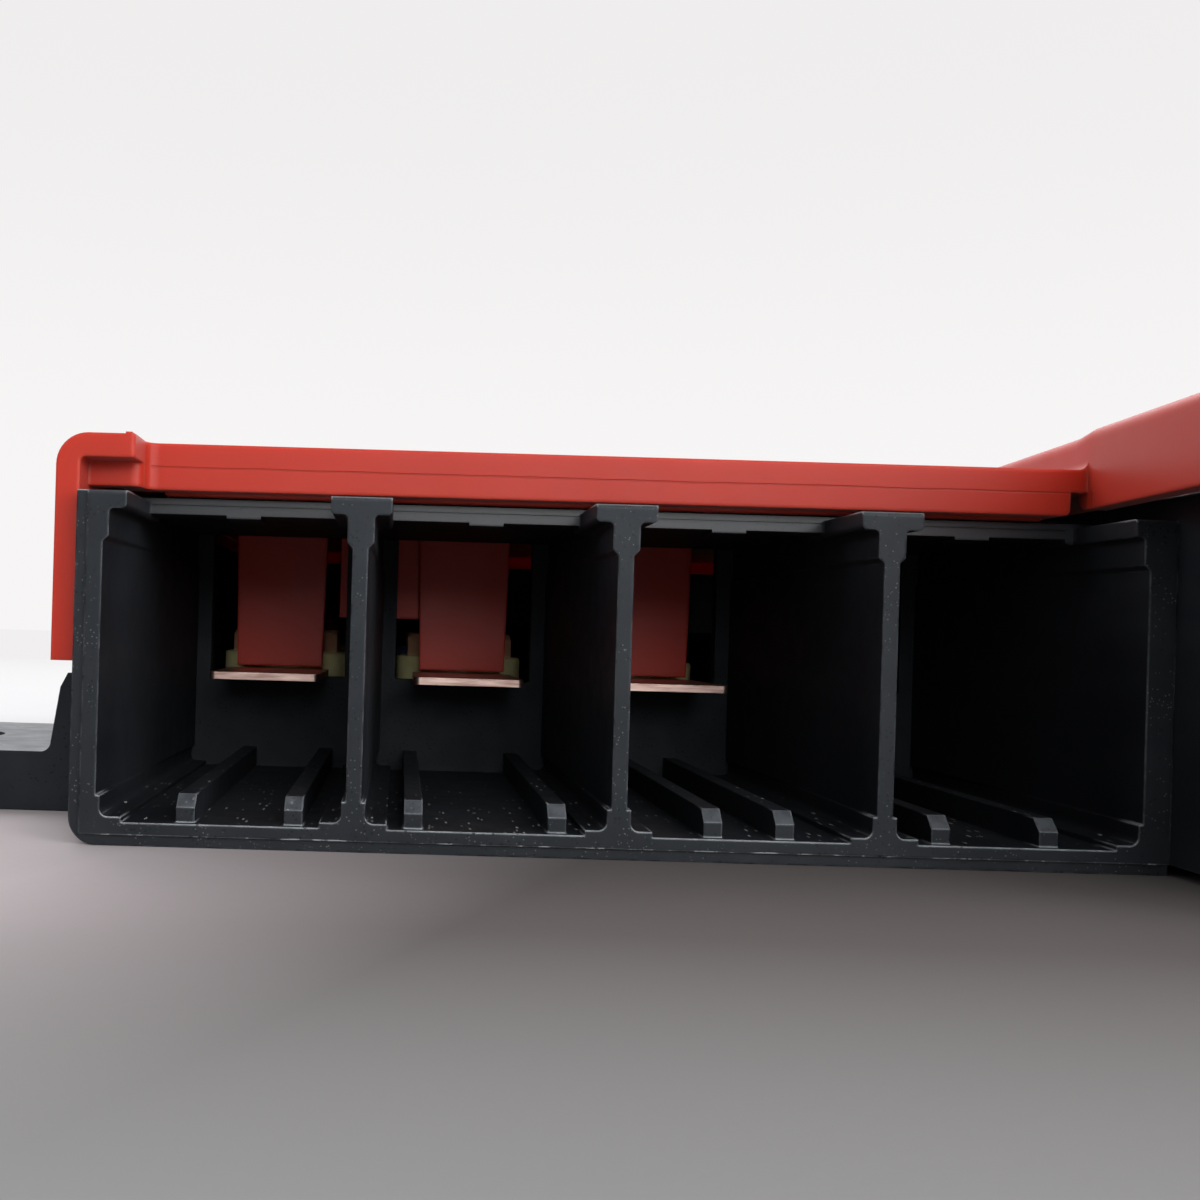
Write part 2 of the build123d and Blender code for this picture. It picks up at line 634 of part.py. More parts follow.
for name, along_x, along_y in (
    ("way_housing", (LEFT_X, RIGHT_X), (MOUTH_Y - OVER, CHAMBER_Y)),
    ("fuse_tray", (LEFT_X, BLOCK_X + OVER), (CHAMBER_Y, OVERALL_Y)),
    ("battery_block", (RIGHT_X, BLOCK_X + OVER), (BLOCK_Y - OVER, CHAMBER_Y)),
    ("mounting_lug", (LUG_END_X - OVER, LEFT_X), (MOUTH_Y, OVERALL_Y)),
):
    with BuildPart() as portion:
        add(housing.part)
        slab(along_x, along_y, (-OVER, LID_TOP + OVER), mode=Mode.INTERSECT)
    write(portion, name)

# --- Outlet blades ---------------------------------------------------------------
JOG_START = BACK_WALL + TONGUE_GAP + JOG_LEAD   # from the back wall's front face
JOG_END = BACK_WALL + STUD_BACK - (FUSE_LENGTH - STUD_SPACING) / 2 - LID_GAP

for way in range(FUSED_WAYS):
    with BuildPart() as outlet_blade:
        # Side view: tab in the way, jog down behind the window, eye on the plinth
        with BuildSketch(sideways(way_x(way), BACK_Y)):
            Polygon(
                (BLADE_FRONT - WAY_DEPTH, BLADE_BOTTOM),
                (JOG_START, BLADE_BOTTOM),
                (JOG_END - JOG_SLANT, SEAT_Z - BLADE_T),
                (BACK_WALL + STUD_BACK + EYE_WIDTH / 2, SEAT_Z - BLADE_T),
                (BACK_WALL + STUD_BACK + EYE_WIDTH / 2, SEAT_Z),
                (JOG_END, SEAT_Z),
                (JOG_START + JOG_SLANT, BLADE_TOP),
                (BLADE_FRONT - WAY_DEPTH, BLADE_TOP),
                align=None,
            )
        extrude(amount=EYE_WIDTH / 2, both=True)
        # Plan view: narrow tab, round eye with the stud hole
        with BuildSketch(level(way_x(way), STUD_Y, 0)) as blade_plan:
            tab_length = STUD_Y - MOUTH_Y - BLADE_FRONT
            with Locations((0, -tab_length / 2)):
                Rectangle(BLADE_WIDTH, tab_length)
            fillet(blade_plan.vertices().sort_by(Axis.Y)[:2], BLADE_CORNER)
            Circle(EYE_WIDTH / 2)
            Circle(HOLE_R, mode=Mode.SUBTRACT)
        extrude(amount=BLADE_TOP + OVER, mode=Mode.INTERSECT)
    write(outlet_blade, f"outlet_blade_{way + 1}")

# --- Fuses: link, lower cartridge half and upper cartridge half --------------------
for way in range(FUSED_WAYS):
    with BuildPart() as fuse_link:
        with BuildSketch(level(way_x(way), FUSE_Y, SEAT_Z)):
            tab_start = CARTRIDGE_LENGTH / 2 + LID_GAP
            for end in (-1, 1):
                with Locations((0, end * STUD_SPACING / 2)):
                    Circle((FUSE_LENGTH - STUD_SPACING) / 2)
                with Locations((0, end * (STUD_SPACING / 2 + tab_start) / 2)):
                    Rectangle(CARTRIDGE_WIDTH, STUD_SPACING / 2 - tab_start)
            Rectangle(LINK_WAIST, STUD_SPACING)
            for end in (-1, 1):
                with Locations((0, end * STUD_SPACING / 2)):
                    Circle(HOLE_R, mode=Mode.SUBTRACT)
            # Two side bites leave the neck, and a middle hole splits it
            for side in (-1, 1):
                with Locations((side * (LINK_NECK / 2 + LINK_WAIST / 2), 0)):
                    SlotOverall(LINK_WAIST, LINK_BITE, mode=Mode.SUBTRACT)
            Circle(LINK_NECK / 4, mode=Mode.SUBTRACT)
        extrude(amount=LINK_T)
    write(fuse_link, f"fuse_link_{way + 1}")

    parting_z = SEAT_Z + LINK_T / 2
    hollow_width = LINK_WAIST - 2 * CARTRIDGE_GRIP
    hollow_length = CARTRIDGE_LENGTH - 4 * CARTRIDGE_WALL
    for name, wall_z, link_face_z in (
        ("fuse_body", CARTRIDGE_BOTTOM, SEAT_Z),
        ("fuse_lid", CARTRIDGE_TOP, SEAT_Z + LINK_T),
    ):
        outward = 1 if wall_z > parting_z else -1
        with BuildPart() as cartridge_half:
            with BuildSketch(level(way_x(way), FUSE_Y, parting_z)):
                RectangleRounded(CARTRIDGE_WIDTH, CARTRIDGE_LENGTH, CARTRIDGE_CORNER)
            extrude(amount=wall_z - parting_z)
            fillet(cartridge_half.faces().sort_by(Axis.Z)[-1 if outward > 0 else 0].edges(), CARTRIDGE_EDGE)
            # Channel for the link, from end to end
            with BuildSketch(level(way_x(way), FUSE_Y, parting_z)):
                Rectangle(LINK_WAIST + 2 * LINK_GAP, CARTRIDGE_LENGTH + 2 * OVER)
            extrude(amount=link_face_z - parting_z, mode=Mode.SUBTRACT)
            # Hollow round the melting neck
            with BuildSketch(level(way_x(way), FUSE_Y, parting_z)):
                RectangleRounded(hollow_width, hollow_length, HOLLOW_CORNER)
            extrude(amount=wall_z - outward * CARTRIDGE_WALL - parting_z, mode=Mode.SUBTRACT)
            # Raised label pad on the upper half
            if outward > 0:
                with BuildSketch(level(way_x(way), FUSE_Y, wall_z)):
                    RectangleRounded(hollow_width, hollow_length, HOLLOW_CORNER)
                extrude(amount=LABEL_PAD)
        write(cartridge_half, f"{name}_{way + 1}")

# --- Studs and nuts ---------------------------------------------------------------


def headed_stud(x, y, head_top, top):
    """Clinched stud: flat head under the conductor, plain shank with a lead-in."""
    rod(x, y, head_top - STUD_HEAD_T, head_top, STUD_HEAD_R)
    rod(x, y, head_top, top - STUD_LEAD_IN, STUD_R)
    with BuildSketch(level(x, y, top - STUD_LEAD_IN)) as lead_in:
        Circle(STUD_R)
    extrude(lead_in.sketch, amount=STUD_LEAD_IN, taper=STUD_LEAD_IN_ANGLE)


def collar_nut(x, y, seat):
    """Hexagon nut on a tall round collar."""
    rod(x, y, seat, seat + NUT_COLLAR_T - NUT_EDGE, NUT_COLLAR_R)
    with BuildSketch(level(x, y, seat + NUT_COLLAR_T - NUT_EDGE)) as collar_edge:
        Circle(NUT_COLLAR_R)
    extrude(collar_edge.sketch, amount=NUT_EDGE, taper=NUT_EDGE_ANGLE)
    with BuildSketch(level(x, y, seat)) as hexagon:
        RegularPolygon(NUT_FLATS / 2, 6, major_radius=False)
    extrude(hexagon.sketch, amount=NUT_HEIGHT - NUT_EDGE)
    with BuildSketch(level(x, y, seat + NUT_HEIGHT - NUT_EDGE)) as hexagon_edge:
        RegularPolygon(NUT_FLATS / 2, 6, major_radius=False)
    extrude(hexagon_edge.sketch, amount=NUT_EDGE, taper=NUT_EDGE_ANGLE)
    rod(x, y, seat - OVER, seat + NUT_HEIGHT + OVER, STUD_R + THREAD_PLAY, mode=Mode.SUBTRACT)


with BuildPart() as front_studs:
    for way in range(FUSED_WAYS):
        headed_stud(way_x(way), STUD_Y, SEAT_Z - BLADE_T, STUD_TOP)
write(front_studs, "front_studs")

with BuildPart() as rear_studs:
    for way in range(FUSED_WAYS):
        headed_stud(way_x(way), REAR_STUD_Y, SEAT_Z - BUSBAR_T, STUD_TOP)
write(rear_studs, "rear_studs")

with BuildPart() as front_nuts:
    for way in range(FUSED_WAYS):
        collar_nut(way_x(way), STUD_Y, NUT_SEAT_Z)
write(front_nuts, "front_nuts")

with BuildPart() as rear_nuts:
    for way in range(FUSED_WAYS):
        collar_nut(way_x(way), REAR_STUD_Y, NUT_SEAT_Z)
write(rear_nuts, "rear_nuts")

with BuildPart() as feed_stud:
    headed_stud(POST_X, FEED_Y, SEAT_Z - BUSBAR_T, FEED_STUD_TOP)
write(feed_stud, "feed_stud")

with BuildPart() as feed_nut:
    collar_nut(POST_X, FEED_Y, SEAT_Z)
write(feed_nut, "feed_nut")

# --- Input busbar -----------------------------------------------------------------
with BuildPart() as input_busbar:
    run_left = way_x(0) - BUSBAR_WIDTH / 2
    run_right = POST_X + BUSBAR_WIDTH / 2
    leg_front = JOINT_Y - BUSBAR_WIDTH / 2
    with BuildSketch(Plane.XY.offset(SEAT_Z - BUSBAR_T)) as busbar_plan:
        with Locations(((run_left + run_right) / 2, REAR_STUD_Y)):
            Rectangle(run_right - run_left, BUSBAR_WIDTH)
        with Locations((POST_X, (leg_front + REAR_STUD_Y) / 2)):
            Rectangle(BUSBAR_WIDTH, REAR_STUD_Y - leg_front)
        fillet(busbar_plan.vertices(), BUSBAR_CORNER)
        for way in range(FUSED_WAYS):
            with Locations((way_x(way), REAR_STUD_Y)):
                Circle(HOLE_R, mode=Mode.SUBTRACT)
        for hole_y in (JOINT_Y, FEED_Y):
            with Locations((POST_X, hole_y)):
                Circle(HOLE_R, mode=Mode.SUBTRACT)
    extrude(amount=BUSBAR_T)
write(input_busbar, "input_busbar")

# --- Battery clamp and its fasteners ------------------------------------------------
CLAMP_PAD_TOP = SEAT_Z - BUSBAR_T

with BuildPart() as battery_clamp:
    rod(POST_X, POST_Y, CLAMP_BOTTOM, CLAMP_TOP, CLAMP_R)
    # Pad that carries the busbar
    slab(
        (POST_X - CLAMP_PAD_WIDTH / 2, POST_X + CLAMP_PAD_WIDTH / 2),
        (POST_Y + CLAMP_R / 2, JOINT_Y + BUSBAR_WIDTH / 2),
        (CHAMBER_FLOOR, CLAMP_PAD_TOP),
    )
    # Ears for the pinch bolt
    slab(
        (POST_X - EARS_HALF, POST_X + EARS_HALF),
        (CLAMP_BOLT_Y - EAR_EDGE, POST_Y),
        (CLAMP_BOLT_Z - EAR_HEIGHT / 2, CLAMP_BOLT_Z + EAR_HEIGHT / 2),
    )
    rod(POST_X, POST_Y, 0, CLAMP_TOP + OVER, POST_BORE_R, mode=Mode.SUBTRACT)
    slab(
        (POST_X - CLAMP_SLIT / 2, POST_X + CLAMP_SLIT / 2),
        (CLAMP_BOLT_Y - EAR_EDGE - OVER, POST_Y),
        (0, CLAMP_TOP + OVER),
        mode=Mode.SUBTRACT,
    )
    with BuildSketch(sideways(POST_X, CLAMP_BOLT_Y, CLAMP_BOLT_Z)):
        Circle(CLAMP_BOLT_R + CLAMP_BOLT_PLAY)
    extrude(amount=EARS_HALF + OVER, both=True, mode=Mode.SUBTRACT)
    # Blind hole for the joint stud
    rod(
        POST_X,
        JOINT_Y,
        CHAMBER_FLOOR + JOINT_FLOOR,
        CLAMP_PAD_TOP + OVER,
        STUD_R + THREAD_PLAY,
        mode=Mode.SUBTRACT,
    )
write(battery_clamp, "battery_clamp")

with BuildPart() as clamp_bolt:
    with BuildSketch(sideways(POST_X - EARS_HALF - BOLT_HEAD_T, CLAMP_BOLT_Y, CLAMP_BOLT_Z)):
        RegularPolygon(BOLT_HEAD_FLATS / 2, 6, major_radius=False)
    extrude(amount=BOLT_HEAD_T)
    with BuildSketch(sideways(POST_X - EARS_HALF, CLAMP_BOLT_Y, CLAMP_BOLT_Z)):
        Circle(CLAMP_BOLT_R)
    extrude(amount=2 * EARS_HALF + WASHER_T + CLAMP_NUT_T + BOLT_PROUD)
write(clamp_bolt, "clamp_bolt")

with BuildPart() as clamp_washer:
    with BuildSketch(sideways(POST_X + EARS_HALF, CLAMP_BOLT_Y, CLAMP_BOLT_Z)):
        Circle(WASHER_R)
        Circle(CLAMP_BOLT_R + WASHER_PLAY, mode=Mode.SUBTRACT)
    extrude(amount=WASHER_T)
write(clamp_washer, "clamp_washer")

with BuildPart() as clamp_nut:
    with BuildSketch(sideways(POST_X + EARS_HALF + WASHER_T, CLAMP_BOLT_Y, CLAMP_BOLT_Z)):
        RegularPolygon(BOLT_HEAD_FLATS / 2, 6, major_radius=False)
        Circle(CLAMP_BOLT_R + THREAD_PLAY, mode=Mode.SUBTRACT)
    extrude(amount=CLAMP_NUT_T)
write(clamp_nut, "clamp_nut")

with BuildPart() as joint_stud:
    rod(POST_X, JOINT_Y, CHAMBER_FLOOR + JOINT_FLOOR, STUD_TOP, STUD_R)
    chamfer(joint_stud.faces().sort_by(Axis.Z)[-1].edges(), JOINT_STUD_EDGE)
write(joint_stud, "joint_stud")

with BuildPart() as joint_nut:
    collar_nut(POST_X, JOINT_Y, SEAT_Z)
write(joint_nut, "joint_nut")

# --- Lid ----------------------------------------------------------------------------
SKIRT_Y = MOUTH_Y + LID_FRONT
RIM_Y = MOUTH_Y + RIM_FRONT
RIM_END_X = LID_LEFT_X + RIM_WIDTH
SKIRT_LEFT_X = RIM_END_X + RIM_HOLLOW
RECESS_Y = RIM_Y + RECESS
HOOD_X = RIGHT_X - HOOD_EDGE_IN
HOOD_FRONT_Y = BLOCK_Y - LID_MARGIN
HOOD_FRONT_X = HOOD_X - HOOD_SPLAY * (SKIRT_Y - HOOD_FRONT_Y)
HOOD_REAR_X = HOOD_X + HOOD_SPLAY * (HOOD_SPLAY_END - LID_FRONT)
HOOD_CORNER = BLOCK_CORNER + LID_MARGIN
HOOD_OUTLINE = (
    (HOOD_FRONT_X, HOOD_FRONT_Y),
    (LID_RIGHT_X, HOOD_FRONT_Y),
    (LID_RIGHT_X, LID_REAR_Y),
    (HOOD_REAR_X, LID_REAR_Y),
    (HOOD_REAR_X, MOUTH_Y + HOOD_SPLAY_END),
)


with BuildPart() as lid:
    # Main plate: rim at the left, S-shaped step back to the front skirt
    with BuildSketch(Plane.XY.offset(LID_UNDER)):
        with BuildLine():
            Polyline(
                (SKIRT_LEFT_X, SKIRT_Y),
                (HOOD_X + LID_T, SKIRT_Y),
                (HOOD_REAR_X + LID_T, MOUTH_Y + HOOD_SPLAY_END),
                (HOOD_REAR_X + LID_T, LID_REAR_Y),
                (LID_LEFT_X, LID_REAR_Y),
                (LID_LEFT_X, RIM_Y),
                (RIM_END_X - RIM_EDGE, RIM_Y),
            )
            RadiusArc((RIM_END_X - RIM_EDGE, RIM_Y), (RIM_END_X, RIM_Y + RIM_EDGE), -RIM_EDGE)
            Line((RIM_END_X, RIM_Y + RIM_EDGE), (RIM_END_X, SKIRT_Y - RIM_HOLLOW))
            RadiusArc((RIM_END_X, SKIRT_Y - RIM_HOLLOW), (SKIRT_LEFT_X, SKIRT_Y), RIM_HOLLOW)
        make_face()
    extrude(amount=LID_T)

    # Left side skirt
    slab((LID_LEFT_X, LID_LEFT_X + LID_T), (RIM_Y, LID_REAR_Y), (SIDE_SKIRT_BOTTOM, LID_UNDER))

    # Small hollow where the rim turns down into the side skirt
    with BuildSketch(upright(LID_LEFT_X + LID_T, RIM_Y, LID_UNDER)):
        Rectangle(RIM_SOFT, RIM_SOFT, align=(Align.MIN, Align.MAX))
        with Locations((RIM_SOFT, -RIM_SOFT)):
            Circle(RIM_SOFT, mode=Mode.SUBTRACT)
    extrude(amount=-RECESS)

    # Front skirt, which steps forward to a recessed wall under the rim
    slab((SKIRT_LEFT_X, HOOD_X), (SKIRT_Y, SKIRT_Y + LID_T), (SKIRT_BOTTOM, LID_UNDER))
    with BuildSketch(Plane.XY.offset(SKIRT_BOTTOM)):
        with BuildLine():
            RadiusArc((RIM_END_X, SKIRT_Y - RIM_HOLLOW), (SKIRT_LEFT_X, SKIRT_Y), RIM_HOLLOW)
            Polyline(
                (SKIRT_LEFT_X, SKIRT_Y),
                (SKIRT_LEFT_X, SKIRT_Y + LID_T),
                (RIM_END_X - LID_T, SKIRT_Y + LID_T),
                (RIM_END_X - LID_T, RECESS_Y + LID_T),
                (LID_LEFT_X + LID_T, RECESS_Y + LID_T),
                (LID_LEFT_X + LID_T, RECESS_Y),
                (RIM_END_X - RECESS_ROUND, RECESS_Y),
            )
            RadiusArc((RIM_END_X - RECESS_ROUND, RECESS_Y), (RIM_END_X, RECESS_Y + RECESS_ROUND), -RECESS_ROUND)
            Line((RIM_END_X, RECESS_Y + RECESS_ROUND), (RIM_END_X, SKIRT_Y - RIM_HOLLOW))
        make_face()
    extrude(amount=LID_UNDER - SKIRT_BOTTOM)

    # Lip over the step of the rear wall
    slab(
        (LID_LEFT_X + LID_T, LID_RIGHT_X - LID_T),
        (INNER_REAR_Y, REAR_Y - REAR_OUTER - LID_GAP),
        (REAR_STEP + LID_GAP, LID_UNDER),
    )

    # Hood over the battery block: raised shell
    with BuildSketch(Plane.XY.offset(LID_UNDER)) as hood_plan:
        Polygon(*HOOD_OUTLINE, align=None)
        fillet(hood_plan.vertices().sort_by(Axis.Y)[:2].sort_by(Axis.X)[-1], HOOD_CORNER)
    extrude(amount=HOOD_TOP - LID_UNDER)
    with BuildSketch(sideways(HOOD_FRONT_X - OVER)):
        Polygon(
            (SKIRT_Y, HOOD_TOP),
            (SKIRT_Y + HOOD_RAMP, HOOD_TOP - HOOD_REAR_DROP),
            (LID_REAR_Y + OVER, HOOD_TOP - HOOD_REAR_DROP),
            (LID_REAR_Y + OVER, HOOD_TOP + OVER),
            (SKIRT_Y, HOOD_TOP + OVER),
            align=None,
        )
    extrude(amount=LID_RIGHT_X - HOOD_FRONT_X + 2 * OVER, mode=Mode.SUBTRACT)
    with BuildSketch(Plane.XY.offset(LID_UNDER - OVER)) as hood_hollow:
        Polygon(*HOOD_OUTLINE, align=None)
        fillet(hood_hollow.vertices().sort_by(Axis.Y)[:2].sort_by(Axis.X)[-1], HOOD_CORNER)
        offset(amount=-LID_T, kind=Kind.INTERSECTION)
    extrude(amount=HOOD_UNDER - LID_UNDER + OVER, mode=Mode.SUBTRACT)

    # Rounded edges: over the hood's whole top, at its foot, and along the lid's left edge
    hood_edges = lid.edges().filter_by(lambda edge: edge.center().Z > HOOD_TOP - HOOD_REAR_DROP - LEVEL)
    fillet(hood_edges, HOOD_ROUND)
    foot_edges = lid.edges().filter_by(lambda edge: abs(edge.center().Z - LID_TOP) < LEVEL)
    foot_edges = foot_edges.filter_by(lambda edge: edge.center().X > HOOD_X)
    fillet(foot_edges.filter_by(lambda edge: edge.center().Y > SKIRT_Y + OVER), HOOD_FOOT)
    fillet(lid.edges().filter_by(Axis.Y).group_by(Axis.X)[0].sort_by(Axis.Z)[-1], LID_CORNER)

    # Left skirt of the hood, with a rounded lower corner beside the slot
    skirt_end_y = SKIRT_Y + HOOD_SKIRT_BACK
    skirt_end_x = HOOD_X + HOOD_SPLAY * HOOD_SKIRT_BACK
    with BuildSketch(Plane.XY.offset(HOOD_SKIRT_BOTTOM)):
        Polygon(
            (HOOD_FRONT_X, HOOD_FRONT_Y),
            (HOOD_FRONT_X + LID_T, HOOD_FRONT_Y),
            (skirt_end_x + LID_T, skirt_end_y),
            (skirt_end_x, skirt_end_y),
            align=None,
        )
    extrude(amount=LID_UNDER - HOOD_SKIRT_BOTTOM)
    skirt_corner = lid.edges().filter_by(Axis.X).filter_by(
        lambda edge: abs(edge.center().Y - skirt_end_y) < LEVEL
        and abs(edge.center().Z - HOOD_SKIRT_BOTTOM) < LEVEL
    )
    fillet(skirt_corner, HOOD_SKIRT_ROUND)

    # Front and right skirts of the hood
    with BuildSketch(Plane.XY.offset(HOOD_FRONT_BOTTOM)) as hood_skirt:
        Polygon(*HOOD_OUTLINE, align=None)
        fillet(hood_skirt.vertices().sort_by(Axis.Y)[:2].sort_by(Axis.X)[-1], HOOD_CORNER)
        offset(amount=-LID_T, kind=Kind.INTERSECTION, mode=Mode.SUBTRACT)
        with Locations((LID_RIGHT_X - LID_T, HOOD_FRONT_Y + LID_T)):
            Rectangle(OVERALL_X, OVERALL_Y, align=(Align.MAX, Align.MIN), mode=Mode.SUBTRACT)
        with Locations((RIGHT_X, HOOD_FRONT_Y - LID_T)):
            Rectangle(OVERALL_X, OVERALL_Y, align=(Align.MAX, Align.MIN), mode=Mode.SUBTRACT)
    extrude(amount=LID_UNDER - HOOD_FRONT_BOTTOM)
    slab(
        (LID_RIGHT_X - LID_T, LID_RIGHT_X),
        (BLOCK_Y + HOOD_CORNER, LID_REAR_Y),
        (SIDE_SKIRT_BOTTOM, HOOD_FRONT_BOTTOM),
    )

    # Cable slot in the right skirt
    slab(
        (LID_RIGHT_X - LID_T - OVER, LID_RIGHT_X + OVER),
        (FEED_Y - CABLE_SLOT / 2, FEED_Y + CABLE_SLOT / 2),
        (SIDE_SKIRT_BOTTOM - OVER, CABLE_SLOT_TOP),
        mode=Mode.SUBTRACT,
    )

    # Slot between the front skirt and the hood
    slab(
        (HOOD_X - NOTCH, HOOD_X),
        (SKIRT_Y - OVER, SKIRT_Y + LID_T + LID_GAP),
        (SKIRT_BOTTOM - OVER, LID_UNDER),
        mode=Mode.SUBTRACT,
    )
    notch_corner = lid.edges().filter_by(Axis.Y).filter_by(
        lambda edge: abs(edge.center().X - (HOOD_X - NOTCH)) < LEVEL
        and abs(edge.center().Z - SKIRT_BOTTOM) < LEVEL
    )
    fillet(notch_corner, NOTCH_ROUND)

    # Small bead at the end of the left rim
    slab(
        (RIM_END_X - RIM_BEAD[0], RIM_END_X - RIM_BEAD[1]),
        (RIM_Y, SKIRT_Y),
        (LID_TOP, LID_TOP + RIM_BEAD[2]),
    )

    # Finger-guard tongues behind the windows
    for way in range(WAYS):
        with BuildSketch(upright(way_x(way), TONGUE_Y)):
            Polygon(
                (-TONGUE_TIP_WIDTH / 2, BLADE_TOP + TONGUE_GAP),
                (TONGUE_TIP_WIDTH / 2, BLADE_TOP + TONGUE_GAP),
                (TONGUE_TOP_WIDTH / 2, LID_UNDER),
                (-TONGUE_TOP_WIDTH / 2, LID_UNDER),
                align=None,
            )
        extrude(amount=-TONGUE_T)

    # Key rib between the first two ways
    slab(
        (divider_x(0) + KEY_RIB_OFFSET - KEY_RIB_WIDTH / 2,
         divider_x(0) + KEY_RIB_OFFSET + KEY_RIB_WIDTH / 2),
        (LID_RIB_Y, LID_RIB_Y + LID_RIB_T),
        (KEY_RIB_BOTTOM, LID_UNDER),
    )

    # Hinge eyes at the rear edge
    for station in HINGE_STATIONS:
        with BuildSketch(sideways(station, HINGE_Y, HINGE_Z)):
            Circle(HINGE_R)
            with Locations((0, HINGE_R)):
                Rectangle(HINGE_Y - LID_REAR_Y + OVER, HINGE_R, align=(Align.MAX, Align.MAX))
            Circle(PIN_R + PIN_PLAY, mode=Mode.SUBTRACT)
        extrude(amount=EYE_LENGTH / 2, both=True)
write(lid, "lid")

# --- Hinge pins -----------------------------------------------------------------------
with BuildPart() as hinge_pins:
    for station in HINGE_STATIONS:
        with BuildSketch(sideways(station, HINGE_Y, HINGE_Z)):
            Circle(PIN_R)
        extrude(amount=EYE_LENGTH / 2 + EAR_GAP + EAR_T, both=True)
write(hinge_pins, "hinge_pins")
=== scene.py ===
import math

import bpy
import numpy as np
from mathutils import Matrix, Vector


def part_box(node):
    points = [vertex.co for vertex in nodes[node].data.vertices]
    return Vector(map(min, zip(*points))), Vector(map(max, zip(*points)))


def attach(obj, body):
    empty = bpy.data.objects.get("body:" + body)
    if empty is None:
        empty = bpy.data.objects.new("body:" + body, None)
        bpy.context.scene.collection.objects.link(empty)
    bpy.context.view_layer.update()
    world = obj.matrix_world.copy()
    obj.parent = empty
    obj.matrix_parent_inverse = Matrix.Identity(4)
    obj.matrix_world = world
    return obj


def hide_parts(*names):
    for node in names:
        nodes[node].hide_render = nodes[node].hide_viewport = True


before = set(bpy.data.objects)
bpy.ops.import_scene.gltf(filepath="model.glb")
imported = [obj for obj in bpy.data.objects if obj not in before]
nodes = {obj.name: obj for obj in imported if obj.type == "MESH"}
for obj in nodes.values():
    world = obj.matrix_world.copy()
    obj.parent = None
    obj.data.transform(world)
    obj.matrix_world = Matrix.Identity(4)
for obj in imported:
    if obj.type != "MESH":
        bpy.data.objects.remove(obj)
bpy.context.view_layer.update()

MM = 0.001

# ---------------------------------------------------------------------------
# Camera.  A close-up lens stands low in front of the connector ways, a little
# left of their middle, and is rolled slightly, so the top edges fall to the right.
# ---------------------------------------------------------------------------
lens = bpy.data.cameras.new("front_lens")
lens.sensor_width = 36.0
lens.lens = 36.06
lens.shift_x = 0.16625
lens.shift_y = 0.02667
lens.clip_start = 0.005
lens.clip_end = 20.0
camera = bpy.data.objects.new("front_camera", lens)
bpy.context.scene.collection.objects.link(camera)
LENS_PLACE, ROLL = Vector((-28.225, -150.1, 18.4)) * MM, math.radians(1.65)
camera.matrix_world = (
    Matrix.Translation(LENS_PLACE)
    @ Matrix.Rotation(math.radians(90), 4, "X")
    @ Matrix.Rotation(ROLL, 4, "Z")
)
bpy.context.scene.camera = camera
bpy.context.scene.view_settings.view_transform = "Standard"


# ---------------------------------------------------------------------------
# Table.  A sheet of matt white card lies under the box.  Its colour carries
# painted shade: darker near the lens, for the camera's own shadow, and darkest at
# the box's foot, a painted shadow of the box that fades out to both sides.
# ---------------------------------------------------------------------------
class Value:
    """A socket that shader sums are written with; each operator adds one Math node."""

    def __init__(self, tree, socket):
        self.tree = tree
        self.socket = socket

    def maths(self, operation, first, second=0.0):
        return self.tree.node("Math", {"operation": operation}, {0: first, 1: second})

    def __add__(self, other):
        return self.maths("ADD", self, other)

    __radd__ = __add__

    def __mul__(self, other):
        return self.maths("MULTIPLY", self, other)

    __rmul__ = __mul__

    def __sub__(self, other):
        return self.maths("SUBTRACT", self, other)

    def __rsub__(self, other):
        return self.maths("SUBTRACT", other, self)

    def __lt__(self, other):
        return self.maths("LESS_THAN", self, other)

    def __abs__(self):
        return self.maths("ABSOLUTE", self)


